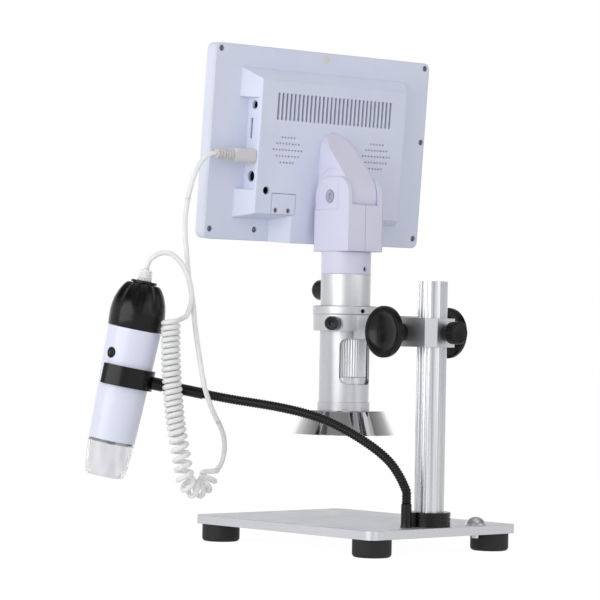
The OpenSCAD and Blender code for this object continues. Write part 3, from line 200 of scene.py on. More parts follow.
def press(tree, shader, rounded, height, depth_mm, strength=1.0):
    """Lays a height pattern on the rounded normal as a bump, depth_mm deep."""
    bump = add(tree, "ShaderNodeBump", {
        "Height": height, "Distance": depth_mm * MM, "Strength": strength,
        "Normal": rounded.outputs["Normal"]})
    tree.links.new(bump.outputs["Normal"], shader.inputs["Normal"])


def link(tree, value, shader, name):
    """Feeds a value into one of the shader's inputs."""
    tree.links.new(value, shader.inputs[name])


print("finish helpers ready")

# %% [markdown]
# Aluminium. The plate is bead-blasted and clear anodised, which leaves a fine even sparkle. The post is
# drawn through a die, which leaves long scratches along it. The tube is turned on a lathe and anodised,
# so its scratches run round it. Bare aluminium reflects about 91%, and the oxide dulls it a little. The
# real marks are 0.05 to 0.1 mm wide, which is too fine to show, so they are drawn half a millimetre wide.

# %% Blasted, drawn and turned aluminium
FINEST = 0.5


def blasted_aluminium():
    made, tree, shader, rounded = new_finish("blasted anodised aluminium", "#CDCED2", 0.85, 0.42, 0.5)
    speck = grain(tree, FINEST, detail=3)
    link(tree, tint(tree, between(tree, speck, 0, 1), "#CDCED3", "#DFE0E4"), shader, "Base Color")
    link(tree, between(tree, grain(tree, 14, detail=1), 0.38, 0.47), shader, "Roughness")
    press(tree, shader, rounded, speck, 0.02, 0.5)
    return made


def drawn_aluminium():
    made, tree, shader, rounded = new_finish("drawn aluminium", "#D6D7DB", 0.95, 0.28, 0.3)
    line = grain(tree, FINEST, stretch=(1, 1, 0.004), detail=3)
    link(tree, tint(tree, between(tree, line, 0, 1), "#BABBC0", "#E8E9EC"), shader, "Base Color")
    link(tree, between(tree, line, 0.22, 0.34), shader, "Roughness")
    press(tree, shader, rounded, line, 0.02, 0.5)
    return made


def turned_aluminium(name, colour, rough, depth, edge=0.3):
    made, tree, shader, rounded = new_finish(name, colour[1], 0.9, rough[0], edge)
    line = grain(tree, FINEST, stretch=(0.02, 0.02, 1), detail=1)
    link(tree, tint(tree, between(tree, line, 0, 1), *colour), shader, "Base Color")
    link(tree, between(tree, line, *rough), shader, "Roughness")
    press(tree, shader, rounded, line, depth, 0.3)
    return made


def polished_chrome():
    made, tree, shader, rounded = new_finish("polished chrome plate", "#D2D0D2", 1.0, 0.06, 0.4)
    # Plating over spun metal keeps long, very shallow waves
    wave = grain(tree, 9, stretch=(1, 1, 0.6), detail=1)
    link(tree, between(tree, grain(tree, 2.5), 0.04, 0.09), shader, "Roughness")
    press(tree, shader, rounded, wave, 0.12, 0.35)
    return made


def plain_steel(name="plain steel", colour="#8E9096"):
    made, tree, shader, rounded = new_finish(name, colour, 1.0, 0.32, 0.12)
    link(tree, between(tree, grain(tree, 0.8), 0.25, 0.42), shader, "Roughness")
    return made


def bearing_brass():
    made, tree, shader, rounded = new_finish("turned brass", "#B99A54", 1.0, 0.28, 0.2)
    link(tree, between(tree, grain(tree, 0.6), 0.22, 0.36), shader, "Roughness")
    return made


metals = {
    "plate_aluminium": blasted_aluminium(), "post_aluminium": drawn_aluminium(),
    "tube_aluminium": turned_aluminium(
        "satin anodised aluminium", ("#D3D4D7", "#D7D8DB"), (0.4, 0.42), 0.0006),
    "dial_aluminium": turned_aluminium(
        "bright turned aluminium", ("#DADBDE", "#DEDFE2"), (0.36, 0.38), 0.0001, edge=0.02),
    "chrome": polished_chrome(), "steel": plain_steel(), "brass": bearing_brass()}
bright_steel = plain_steel("zinc-plated steel", "#D4D6DA")
black_steel = plain_steel("blackened steel", "#77787C")
print("metals", len(metals))

# %% [markdown]
# Plastics. ABS out of a polished mould is glossy with a faint orange-peel wave; out of a textured mould
# it is satin with a fine grain. Plastics have an IOR near 1.5 and no metallic part. The white parts
# on this microscope lean towards blue-violet, as bluish whitening in the plastic does.

# %% Moulded plastics
def gloss_plastic(name, colour, rough=0.2, edge=0.4, wave=0.02, shine=0.5):
    made, tree, shader, rounded = new_finish(name, colour, 0.0, rough, edge, IOR=1.5)
    shader.inputs["Specular IOR Level"].default_value = shine
    link(tree, between(tree, grain(tree, 6, detail=1), rough * 0.8, rough * 1.25), shader, "Roughness")
    press(tree, shader, rounded, grain(tree, 1.6, detail=1), wave, 0.3)
    return made


def satin_plastic(name, light, dark, rough, edge):
    made, tree, shader, rounded = new_finish(name, light, 0.0, rough, edge, IOR=1.5)
    spots = grain(tree, 25, detail=1)
    link(tree, tint(tree, between(tree, spots, 0, 1), dark, light), shader, "Base Color")
    fine = grain(tree, FINEST, detail=2)
    link(tree, between(tree, fine, rough - 0.05, rough + 0.06), shader, "Roughness")
    press(tree, shader, rounded, fine, 0.012, 0.35)
    return made


def foot_rubber():
    made, tree, shader, rounded = new_finish("moulded rubber", "#0D0D0E", 0.0, 0.62, 0.5, IOR=1.5)
    fine = grain(tree, 0.7, detail=3)
    link(tree, tint(tree, between(tree, fine, 0, 1), "#0A0A0B", "#131315"), shader, "Base Color")
    press(tree, shader, rounded, fine, 0.03, 0.5)
    return made


def lead_jacket():
    made, tree, shader, rounded = new_finish("white PVC jacket", "#F3F3F3", 0.0, 0.34, 0.05, IOR=1.52)
    shader.inputs["Subsurface Weight"].default_value = 0.8
    shader.inputs["Subsurface Radius"].default_value = (1.0, 1.0, 1.0)
    shader.inputs["Subsurface Scale"].default_value = 0.005
    cloud = grain(tree, 12, detail=1)
    link(tree, tint(tree, between(tree, cloud, 0, 1), "#F2F2F3", "#F8F8F7"), shader, "Base Color")
    press(tree, shader, rounded, grain(tree, 0.8), 0.008, 0.3)
    return made


def circuit_board(name="circuit board", black_above=None):
    """Green solder mask. Parts that stand above a plane, given by its direction and height, are black."""
    made, tree, shader, rounded = new_finish(name, "#12402A", 0.0, 0.35, 0.1, IOR=1.5)
    track = add(tree, "ShaderNodeTexVoronoi", {
        "Vector": object_place(tree), "Scale": 1 / (2.5 * MM)}, distance="MANHATTAN").outputs["Distance"]
    mask = tint(tree, between(tree, track, 0, 1), "#0F3522", "#1A5236")
    if black_above:
        height = add(tree, "ShaderNodeVectorMath", {
            0: object_place(tree), 1: black_above[0]}, operation="DOT_PRODUCT").outputs["Value"]
        standing = calc(tree, "GREATER_THAN", height, black_above[1])
        mask = add(tree, "ShaderNodeMix", {
            "Factor": standing, "A": mask, "B": paint("#101012")}, data_type="RGBA").outputs["Result"]
    link(tree, mask, shader, "Base Color")
    return made


out_of_screen = SCREEN.to_3x3() @ Vector((0, 1, 0))
board_face = out_of_screen.dot(in_mm(SCREEN, 0, -28.8, 0))
main_board_finish = circuit_board("main board with black sockets", (tuple(out_of_screen), board_face))
plastics = {
    "foot_rubber": foot_rubber(),
    "black_gloss": gloss_plastic("glossy black ABS", "#060607", 0.2, 0.5, shine=0.3),
    "black_matt": gloss_plastic("satin black coating", "#060607", 0.27, 0.25, shine=0.32),
    "case_white": satin_plastic("textured white ABS", "#E3E9FB", "#E0E6F9", 0.42, 1.2),
    "yoke_white": satin_plastic("smooth lilac-white ABS", "#E5E4F7", "#E2E1F5", 0.36, 1.6),
    "frame_white": satin_plastic("smooth white ABS", "#E8ECFB", "#E5E9F9", 0.36, 0.8),
    "hand_white": gloss_plastic("glossy white ABS", "#E6EAFC", 0.16, 0.4),
    "lead_white": lead_jacket(),
    "plug_grey": satin_plastic("warm grey PVC", "#DDDBDC", "#D8D6D7", 0.42, 0.5),
    "speaker_cloth": satin_plastic("grey speaker cloth", "#8D8F9E", "#7C7E8C", 0.8, 0.1),
    "key_grey": satin_plastic("grey silicone", "#8A8C94", "#84868E", 0.5, 0.3),
    "lamp_white": satin_plastic("white lamp board", "#E8E8E4", "#DDDDD8", 0.35, 0.2),
    "board_green": circuit_board()}
print("plastics", len(plastics))

# %% [markdown]
# Clear parts. The handheld's nose is thin moulded polycarbonate with a slight milky cast and soft upright
# flow lines, which streak what is seen through it. The lens is coated glass, whose coating shows as a
# faint violet. The picture panel is a dark glossy film.

# %% Clear plastic, lens glass and the picture panel
def clear_plastic():
    made, tree, shader, rounded = new_finish(
        "milky clear polycarbonate", "#FAFAFC", 0.0, 0.07, 0.3, IOR=1.18)
    shader.inputs["Transmission Weight"].default_value = 0.85
    flow = grain(tree, 5, stretch=(1, 1, 0.1), detail=1)
    link(tree, tint(tree, between(tree, flow, 0, 1), "#E6E6EB", "#FFFFFF"), shader, "Base Color")
    press(tree, shader, rounded, flow, 0.1, 0.3)
    return made


def coated_glass():
    made, tree, shader, rounded = new_finish("coated lens glass", "#E9E6F5", 0.0, 0.02, 0.1, IOR=1.52)
    shader.inputs["Transmission Weight"].default_value = 0.9
    shader.inputs["Coat Weight"].default_value = 0.6
    shader.inputs["Coat Tint"].default_value = paint("#B9A8F0")
    return made


def picture_film():
    made, tree, shader, rounded = new_finish("dark picture film", "#0B0C0F", 0.0, 0.12, 0.1, IOR=1.5)
    link(tree, between(tree, grain(tree, 30, detail=1), 0.09, 0.16), shader, "Roughness")
    return made


clear = {"clear_plastic": clear_plastic(), "lens_glass": coated_glass(), "screen_glass": picture_film()}
finishes = {**metals, **plastics, **clear}
slot_of = {s["node"]: s["material_slot"] for s in frame["record"]["subparts"]}
for name, piece in nodes.items():
    piece.data.materials.clear()
    piece.data.materials.append(finishes[slot_of[name]])
special_finishes = {
    "hinge_bolt": bright_steel, "dome_screw": bright_steel, "case_screw_set": black_steel,
    "main_board": main_board_finish, "speakers": plastics["speaker_cloth"]}
for name, finish in special_finishes.items():
    nodes[name].data.materials[0] = finish
print("finished", len(nodes), "parts with", len(finishes), "materials")

# %% [markdown]
# Geometry Nodes trees share a start and an end: named inputs, and one geometry output. Small helpers make
# a tree, end it and run it. Running means: put the tree on a carrier object, set the inputs by their
# identifiers, and turn the evaluated result into a plain mesh, so nothing is left to compute later.

# %% Make and run a geometry tree
KINDS = {float: "NodeSocketFloat", int: "NodeSocketInt", bpy.types.Material: "NodeSocketMaterial"}


def new_tree(name, inputs):
    """An empty geometry tree with a Geometry input, the named inputs and a Geometry output."""
    tree = bpy.data.node_groups.new(name, "GeometryNodeTree")
    tree.interface.new_socket("Geometry", in_out="INPUT", socket_type="NodeSocketGeometry")
    for label, kind in inputs.items():
        tree.interface.new_socket(label, in_out="INPUT", socket_type=KINDS[kind])
    tree.interface.new_socket("Geometry", in_out="OUTPUT", socket_type="NodeSocketGeometry")
    return tree, add(tree, "NodeGroupInput").outputs


def close_tree(tree, geometry, material):
    """Ends a tree: real geometry, its material, and the output."""
    real = add(tree, "GeometryNodeRealizeInstances", {"Geometry": geometry}).outputs["Geometry"]
    done = add(tree, "GeometryNodeSetMaterial", {"Geometry": real, "Material": material})
    add(tree, "NodeGroupOutput", {"Geometry": done.outputs["Geometry"]})


def line_mesh(name, points):
    """A mesh that is only a chain of edges, for a tree to follow."""
    mesh = bpy.data.meshes.new(name)
    edges = [(i, i + 1) for i in range(len(points) - 1)]
    mesh.from_pydata([tuple(p) for p in points], edges, [])
    return mesh


def run_tree(name, mesh, tree, values, place=Matrix.Identity(4), crease=40):
    """Runs a tree on a mesh and returns a plain, smooth-shaded object whose place is in its mesh."""
    carrier = bpy.data.objects.new(name + "_carrier", mesh)
    bpy.context.scene.collection.objects.link(carrier)
    modifier = carrier.modifiers.new("build", "NODES")
    modifier.node_group = tree
    for item in tree.interface.items_tree:
        if item.item_type == "SOCKET" and item.in_out == "INPUT" and item.name in values:
            modifier[item.identifier] = values[item.name]
    ready = carrier.evaluated_get(bpy.context.evaluated_depsgraph_get())
    plain = bpy.data.meshes.new_from_object(ready)
    carrier.modifiers.remove(modifier)
    bpy.data.objects.remove(carrier)
    plain.transform(place)
    plain.shade_smooth()
    plain.set_sharp_from_angle(angle=radians(crease))
    made = bpy.data.objects.new(name, plain)
    bpy.context.scene.collection.objects.link(made)
    return made


def riding(piece, body, *parts):
    """The piece moves with a body and stands for the named parts."""
    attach(piece, body)
    if parts:
        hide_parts(*parts)


print("tree helpers ready")

# %% [markdown]
# The leads and the gooseneck follow smooth lines through listed points, the same points as the CAD
# model's. A Catmull-Rom spline passes through each point, and the first and last stretches stay
# straight, because a lead leaves its plug or relief straight.

# %% Smooth lines through points
def spline_point(a, b, c, d, t):
    """The point a share t of the way from b to c on a Catmull-Rom spline."""
    square = (2 * a - 5 * b + 4 * c - d) * t ** 2
    cube = (3 * b - a - 3 * c + d) * t ** 3
    return 0.5 * (2 * b + (c - a) * t + square + cube)


def smooth_line(points, steps):
    """A line through all the points, its first and last stretches curved too."""
    p = [np.array(q, float) for q in points]
    last = len(p) - 1
    inside = [spline_point(p[max(i - 1, 0)], p[i], p[i + 1], p[min(i + 2, last)], k / steps)
              for i in range(last) for k in range(steps)]
    return np.array(inside + [p[last]])


def straight_ended_line(points, steps):
    """A line through all the points, with its first and last stretches straight."""
    p = [np.array(q, float) for q in points]
    last = len(p) - 1
    inside = [spline_point(p[i - 1], p[i], p[i + 1], p[i + 2], k / steps)
              for i in range(1, last - 1) for k in range(steps)]
    return np.array([p[0]] + inside + [p[last - 1], p[last]])


def distances(line):
    """How far along the line each of its points is."""
    return np.concatenate([[0], np.cumsum(np.linalg.norm(np.diff(line, axis=0), axis=1))])


def points_along(line, places):
    """The points at the given distances along the line."""
    at = distances(line)
    return np.array([[np.interp(s, at, line[:, axis]) for axis in range(3)] for s in places])


def unit(vector):
    return np.array(vector) / np.linalg.norm(vector)


def world(matrix, points):
    """Points in millimetres in a frame, as world points in metres."""
    return [tuple(in_mm(matrix, *p)) for p in points]


def from_frame(matrix, x, y, z):
    """A point of another frame, in millimetres, in the gooseneck's frame."""
    return np.array(NECK.inverted() @ in_mm(matrix, x, y, z)) / MM


neck_route = [[1.3, 0, 44.5], [5, 0, 51.8], [10.5, 0, 59.8], [18, 0, 66.9], [28, 0, 74], [40, 0, 81],
              [54, 0, 87.6], [68, 0, 92.1], [84, 0, 95.6], [100, 0, 98.1], [115, 0, 100.2]]
coil_route = [[157.5, 12, 152], [157.4, 12, 140], [157, 12, 128], [156.3, 12, 116], [155.3, 12, 104],
              [154.1, 12, 92.5], [152.6, 12, 82], [150.7, 11.9, 72], [148.9, 11.6, 62.5]]
loop_route = [[172.5, 0.2, 191.9], [168.9, 0.4, 195], [163.6, 0.6, 196.7], [158.3, 0.8, 195.6],
              [153.4, 1, 191.8], [149.9, 1, 186.4], [147, 0.9, 180], [145.2, 0.5, 173], [144.7, 0, 165.7],
              [146.1, -1, 160], [147.9, 0.8, 155.2]]
drop_route = [[124.9, -22.9, 54.9], [123.1, -24.9, 59.9], [122.1, -23.6, 65.5], [122, -19.5, 71.5],
              [122.9, -13, 77.5], [125, -5.5, 83.5], [128, 1.5, 90], [131.2, 6.5, 98], [134.3, 9, 107.2],
              [136.7, 8.4, 118.3], [139.4, 5, 132.7], [142.2, -0.5, 149], [144.4, -6.5, 165.8],
              [147.4, -11.4, 180], [149.2, -15.6, 194], [150.8, -19.4, 208], [151.3, -22.4, 221],
              [149.9, -24.9, 234], [147.2, -25.8, 246], [143.9, -27.6, 255.5], [139.6, -30.2, 262.2]]
print("route points", len(neck_route) + len(coil_route) + len(loop_route) + len(drop_route))

# %% [markdown]
# The curly stretch is a helix on a hanging line. The line goes down, turns in a half circle and starts up
# again behind itself. Two side vectors are carried along the line so that they never twist, and each
# point of the lead goes round the line on them. Where the line bends, the curls open up a little,
# as they do on a real lead, so that neighbours on the inside of the bend don't touch.

# %% The line of the curls
LEAD = 3.4
CURLS = 30
CURL_RADIUS = (13.2 - LEAD) / 2
PER_CURL = 16
CAD_PER_CURL = 8
TURN_MIDDLE = (138.9, 1.2, 54)
TURN_RADIUS = 13.6
TURN_TOWARDS = radians(54)
# The curls open up from this share of the line on, over this share of it, by this much
OPEN_FROM = 0.62
OPEN_OVER = 0.08
OPEN_BY = 0.65


def hanging_line():
    """The line that the curls go round, with the half circle at its bottom."""
    x, y, z = TURN_MIDDLE
    turn = []
    for angle in np.radians(np.arange(20, 180, 22.5)):
        out = TURN_RADIUS * cos(angle)
        down = TURN_RADIUS * sin(angle)
        turn.append([x + out * cos(TURN_TOWARDS), y + out * sin(TURN_TOWARDS), z - down])
    return smooth_line(coil_route + turn, 8)


def curls():
    """The lead's centreline through its curls, PER_CURL points a turn."""
    line = hanging_line()
    steps = CAD_PER_CURL * CURLS + 2
    widths = [1 + OPEN_BY * min(1, max(0, (i / steps - OPEN_FROM) / OPEN_OVER)) for i in range(steps)]
    marks = np.concatenate([[0], np.cumsum(widths)])
    marks = marks * distances(line)[-1] / marks[-1]
    count = steps * PER_CURL // CAD_PER_CURL
    fine = np.interp(np.arange(count + 1) * CAD_PER_CURL / PER_CURL, np.arange(steps + 1), marks)
    middle = points_along(line, fine)
    heading = np.array([unit(middle[min(i + 1, count)] - middle[max(i - 1, 0)]) for i in range(count + 1)])
    side = np.array([-1, 0, 0], float)
    found = []
    for i in range(count + 1):
        side = unit(side - side.dot(heading[i]) * heading[i])
        other = np.cross(side, heading[i])
        angle = 2 * pi * i / PER_CURL
        found.append(middle[i] + CURL_RADIUS * (cos(angle) * side - sin(angle) * other))
    start = found[0] + LEAD * unit(found[0] - found[1])
    end = found[-1] + LEAD * unit(found[-1] - found[-2])
    return np.array([start] + found + [end])


coil_points = curls()
print("curly stretch", round(distances(coil_points)[-1]), "mm of lead in", len(coil_points), "points")

# %% [markdown]
# A lead is a tube swept along its line. Curve to Mesh does this in a tree with two named sizes, the radius
# and the number of sides, so the same tree makes every stretch.

# %% The swept tube
def tube_tree():
    tree, given = new_tree("lead along a line", {
        "Radius": float, "Sides": int, "Material": bpy.types.Material})
    line = add(tree, "GeometryNodeMeshToCurve", {"Mesh": given["Geometry"]}).outputs["Curve"]
    ring = add(tree, "GeometryNodeCurvePrimitiveCircle", {
        "Resolution": given["Sides"], "Radius": given["Radius"]}).outputs["Curve"]
    swept = add(tree, "GeometryNodeCurveToMesh", {"Curve": line, "Profile Curve": ring, "Fill Caps": True})
    close_tree(tree, swept.outputs["Mesh"], given["Material"])
    return tree


LEAD_TREE = tube_tree()


def lead_stretch(name, points_mm):
    """A stretch of lead along points in the gooseneck's frame; returns it and its points in the world."""
    points = world(NECK, points_mm)
    piece = run_tree(name, line_mesh(name + "_line", points), LEAD_TREE, {
        "Radius": LEAD / 2 * MM, "Sides": 14, "Material": finishes["lead_white"]}, crease=60)
    return piece, points


coil, coil_world = lead_stretch("curly_lead", coil_points)
riding(coil, "holder", "lead_coil")
print("curls", len(coil.data.vertices), "vertices")

# %% [markdown]
# The loop over the top joins the handheld, which can turn in its clip, to the curls, which hang from the
# clip.

# %% The loop over the top
RELIEF_END = 72.1
hand_exit = [from_frame(HAND, 0, 0, RELIEF_END + out * LEAD) for out in (0, 1)]
into_curls = [coil_points[0] + out * LEAD * unit(coil_points[0] - coil_points[1]) for out in (1, 0)]
loop_line = straight_ended_line(hand_exit + loop_route + into_curls, 3)
loop, loop_world = lead_stretch("lead_loop_over", loop_line)
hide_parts("lead_loop")
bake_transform(loop)
print("loop", round(distances(loop_line)[-1]), "mm")

# %% [markdown]
# The free stretch climbs from the curls to the plug on the screen. Four joints lie between those ends, and
# a piece can bend across one joint only, so the stretch is cut into four lengths. The plug's lead leaves
# its back, in the screen's frame.

# %% The free stretch, in four lengths
PLUG_BACK = (96.5, -23.5, 23.8)
CLIMB_SHARES = (0, 0.3, 0.6, 0.81, 1)
from_curls = [coil_points[-1] + out * LEAD * unit(coil_points[-1] - coil_points[-2]) for out in (0, 1)]
to_plug = [from_frame(SCREEN, PLUG_BACK[0] + out * LEAD, *PLUG_BACK[1:]) for out in (1, 0)]
drop_line = straight_ended_line(from_curls + drop_route + to_plug, 3)
chain = ["holder", "stand", "carriage", "scope", "screen"]
cuts = [round(share * (len(drop_line) - 1)) for share in CLIMB_SHARES]
for i in range(len(chain) - 1):
    part = drop_line[cuts[i]:cuts[i + 1] + 1]
    piece, path = lead_stretch("lead_climb_%d" % (i + 1), part)
    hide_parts("lead_drop")
    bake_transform(piece)
    print("length", i + 1, round(distances(part)[-1]), "mm between", chain[i], "and", chain[i + 1])

# %% [markdown]
# The gooseneck is a steel strip wound into a hose and coated black. Its ribs are what the eye catches. The
# tree lays evenly spaced points along the line, six to a rib, and swells and narrows the radius
# from point to point.

# %% The ribbed gooseneck
HOSE = 6.4
SOCKET_TOP = 34
PER_RIB = 6
SLEEVE_END = (-53.4, 0, -1)


def hose_tree():
    tree, given = new_tree("ribbed hose", {
        "Radius": float, "Rib Depth": float, "Ribs": int, "Sides": int, "Material": bpy.types.Material})
    line = add(tree, "GeometryNodeMeshToCurve", {"Mesh": given["Geometry"]}).outputs["Curve"]
    count = calc(tree, "MULTIPLY_ADD", given["Ribs"], PER_RIB, 1)
    even = add(tree, "GeometryNodeResampleCurve", {"Curve": line, "Count": count}).outputs["Curve"]
    index = add(tree, "GeometryNodeInputIndex").outputs["Index"]
    wave = calc(tree, "SINE", calc(tree, "MULTIPLY", index, pi / PER_RIB))
    dip = calc(tree, "ADD", calc(tree, "ABSOLUTE", wave), -1)
    share = calc(tree, "DIVIDE", given["Rib Depth"], given["Radius"])
    scale = calc(tree, "MULTIPLY_ADD", dip, share, 1)
    ring = add(tree, "GeometryNodeCurvePrimitiveCircle", {
        "Resolution": given["Sides"], "Radius": given["Radius"]}).outputs["Curve"]
    swept = add(tree, "GeometryNodeCurveToMesh", {
        "Curve": even, "Profile Curve": ring, "Scale": scale, "Fill Caps": True})
    close_tree(tree, swept.outputs["Mesh"], given["Material"])
    return tree


neck_ends = [[0, 0, SOCKET_TOP], [0, 0, SOCKET_TOP + HOSE]]
sleeve_ends = [from_frame(HAND, SLEEVE_END[0] - out * HOSE, *SLEEVE_END[1:]) for out in (1, 0)]
neck_line = straight_ended_line(neck_ends + neck_route + sleeve_ends, 12)
neck_world = world(NECK, neck_line)
gooseneck = run_tree("ribbed_gooseneck", line_mesh("gooseneck_line", neck_world), hose_tree(), {
    "Radius": HOSE / 2 * MM, "Rib Depth": 0.5 * MM, "Ribs": 90, "Sides": 20,
    "Material": finishes["black_matt"]}, crease=80)
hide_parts("gooseneck")
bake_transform(gooseneck)
print("gooseneck", round(distances(neck_line)[-1]), "mm")

# %% [markdown]
# Many grips here are turned shapes with flutes: the dial, the knurled knobs and the handheld's focus wheel.
# One tree makes them all. It takes a profile as a chain of points, x out from the axis and z along it,
# and wraps it round the axis. The point's y says how deep the flutes cut there, from 0 to 1.
# The flute comes from a sine wave. At a roundness of 1 it leaves round tops and sharp valleys, and at 2
# its valleys are round too. Narrowness above 1 draws the valleys together and leaves the tops broad.

# %% The turned and fluted tree
def turned_tree():
    tree, given = new_tree("turned and fluted", {
        "Points": int, "Around": int, "Flutes": int, "Flute Depth": float, "Roundness": float,
        "Narrowness": float, "Material": bpy.types.Material})
    around = calc(tree, "ADD", given["Around"], 1)
    sheet = add(tree, "GeometryNodeMeshGrid", {
        "Size X": 1.0, "Size Y": 1.0, "Vertices X": given["Points"], "Vertices Y": around}).outputs["Mesh"]
    index = add(tree, "GeometryNodeInputIndex").outputs["Index"]
    along = calc(tree, "FLOOR", calc(tree, "DIVIDE", index, around))
    step = calc(tree, "MODULO", index, around)
    angle = calc(tree, "MULTIPLY", calc(tree, "DIVIDE", step, given["Around"]), 2 * pi)
    place = add(tree, "GeometryNodeInputPosition").outputs["Position"]
    profile = add(tree, "GeometryNodeSampleIndex", {
        "Geometry": given["Geometry"], "Value": place, "Index": along}, data_type="FLOAT_VECTOR")
    part = add(tree, "ShaderNodeSeparateXYZ", {"Vector": profile.outputs["Value"]})
    half_turns = calc(tree, "MULTIPLY", given["Flutes"], 0.5)
    wave = calc(tree, "ABSOLUTE", calc(tree, "SINE", calc(tree, "MULTIPLY", angle, half_turns)))
    wave = calc(tree, "POWER", wave, given["Roundness"])
    dip = calc(tree, "POWER", calc(tree, "SUBTRACT", 1, wave), given["Narrowness"])
    dip = calc(tree, "MULTIPLY", calc(tree, "MULTIPLY", dip, given["Flute Depth"]), part.outputs["Y"])
    out = calc(tree, "SUBTRACT", part.outputs["X"], dip)
    x = calc(tree, "MULTIPLY", calc(tree, "COSINE", angle), out)
    y = calc(tree, "MULTIPLY", calc(tree, "SINE", angle), out)
    point = add(tree, "ShaderNodeCombineXYZ", {"X": x, "Y": y, "Z": part.outputs["Z"]}).outputs["Vector"]
    wrapped = add(tree, "GeometryNodeSetPosition", {"Geometry": sheet, "Position": point})
    closed = add(tree, "GeometryNodeMergeByDistance", {
        "Geometry": wrapped.outputs["Geometry"], "Distance": 0.002 * MM})
    close_tree(tree, closed.outputs["Geometry"], given["Material"])
    return tree


TURNED = turned_tree()


def softened(profile, radius):
    """Rounds the corners of a profile of (out, flute, along) points by a small radius, in three steps."""
    done = [profile[0]]
    for before, corner, after in zip(profile, profile[1:], profile[2:]):
        a, b, c = (np.array(p, float) for p in (before, corner, after))
        room = min(radius, 0.45 * np.linalg.norm((b - a)[[0, 2]]), 0.45 * np.linalg.norm((c - b)[[0, 2]]))
        if room < 0.02:
            done.append(corner)
            continue
        p = b + (a - b) * room / np.linalg.norm(a - b)
        q = b + (c - b) * room / np.linalg.norm(c - b)
        for t in np.linspace(0, 1, 4):
            done.append(tuple((1 - t) ** 2 * p + 2 * t * (1 - t) * b + t * t * q))
    done.append(profile[-1])
    return done


def turned(name, profile, place, finish, around, flutes=0, depth=0.0, roundness=1.0, narrowness=1.0,
           corner=0.3, crease=35):
    """A turned piece in a frame. The profile is in millimetres, and flutes cut where its y is 1."""
    points = [(p[0] * MM, p[1], p[2] * MM) for p in softened(profile, corner)]
    piece = run_tree(name, line_mesh(name + "_profile", points), TURNED, {
        "Points": len(points), "Around": around, "Flutes": flutes, "Flute Depth": depth * MM,
        "Roundness": roundness, "Narrowness": narrowness, "Material": finishes[finish]}, place, crease)
    return piece


print("turned tree ready")

# %% [markdown]
# The magnification dial shows through the tube's windows. A fingertip turns it by its flutes: forty-eight
# upright ribs, 2 mm apart, between two plain bands.

# %% The magnification dial
dial = turned("fluted_dial", [
    (12.4, 0, 108), (15.2, 0, 108), (15.2, 0, 115.2), (14.7, 0, 115.5), (14.7, 0, 115.7), (15.2, 1, 116),
    (15.2, 1, 141.4), (14.7, 0, 141.7), (14.7, 0, 141.9), (15.2, 0, 142.2), (15.2, 0, 144.5),
    (12.4, 0, 144.5), (12.4, 0, 108)], TUBE, "dial_aluminium", around=384, flutes=48, depth=0.7,
    roundness=1.4, corner=0.12)
riding(dial, "dial", "magnification_dial")
print("dial", len(dial.data.polygons), "faces")

# %% [markdown]
# The handheld's focus wheel is a pointed dome, moulded in glossy black. Eight round finger grooves start
# half way up and deepen towards its top. The profile gives the skin, and its middle number says how much
# of the groove is cut at each height.

# %% The handheld's focus wheel
skin = [(17.95, 0, 0), (18.3, 0, 5), (18.5, 0, 10), (18.4, 0.12, 12.5), (18.2, 0.34, 15), (17.85, 0.52, 17),
        (17.4, 0.66, 19), (16.7, 0.78, 21), (15.9, 0.88, 23), (15.1, 0.94, 24.8), (14.1, 1, 26.5),
        (13.2, 1, 27.9), (12.3, 1, 29), (11.6, 1, 29.7), (10.8, 1, 30.1), (10, 0.8, 30.28)]
WHEEL_FOOT = 32
WHEEL_BORE = 7.5
wheel_foot = [(WHEEL_BORE, 0, WHEEL_FOOT), (13.5, 0, WHEEL_FOOT)]
wheel_skin = [(r, cut, WHEEL_FOOT + along) for r, cut, along in skin]
wheel_top = [(WHEEL_BORE, 0, WHEEL_FOOT + 30.3), (WHEEL_BORE, 0, WHEEL_FOOT)]
wheel = turned("focus_wheel", wheel_foot + wheel_skin + wheel_top, HAND, "black_gloss", around=192,
               flutes=8, depth=1.4, roundness=2, narrowness=2, corner=0.4, crease=60)
riding(wheel, "hand_focus", "hand_wheel")
print("wheel", len(wheel.data.polygons), "faces")

# %% [markdown]
# The lead leaves the handheld through a white ribbed relief, moulded on the lead's end. Its rings are thin
# and round-edged, with deep grooves between, so that it can bend.

# %% The relief on the lead's end
RELIEF_START = 64.2
RING_PITCH = 1.975
rings = [(0, 0, RELIEF_START)]
for i in range(4):
    wide = 5 - i * 0.3
    narrow = wide - 0.8
    level = RELIEF_START + i * RING_PITCH
    rings += [(wide, 0, level), (wide, 0, level + 1.2)]
    rings += [(narrow, 0, level + 1.3), (narrow, 0, level + 1.97)]
rings += [(1.4, 0, RELIEF_END), (1.4, 0, RELIEF_END + 0.6), (0, 0, RELIEF_END + 0.6)]
relief = turned("lead_relief", rings, HAND, "lead_white", around=64, corner=0.25)
riding(relief, "holder", "lead_loop")
print("relief", len(relief.data.polygons), "faces")

# %% [markdown]
# The handheld's shutter button is a small black disc with a raised rim round a shallow dish. Its frame has
# Z pointing out of the handheld's wall.

# %% The shutter button
FACE = 17.55
button_place = HAND @ frame_at(0, 0, 0, 51, "Z") @ frame_at(0, 0, 14, 90, "Y")
button = turned("shutter_button", [
    (0, 0, 13.9), (4.3, 0, 13.9), (4.3, 0, 14.6), (3.5, 0, 14.6), (3.5, 0, FACE - 0.3), (3.2, 0, FACE),
    (2.7, 0, FACE), (2.3, 0, FACE - 0.35), (1.1, 0, FACE - 0.55), (0, 0, FACE - 0.6)], button_place,
    "black_matt", around=64, corner=0.15)
riding(button, "hand_shutter", "hand_button")
print("button", len(button.data.polygons), "faces")

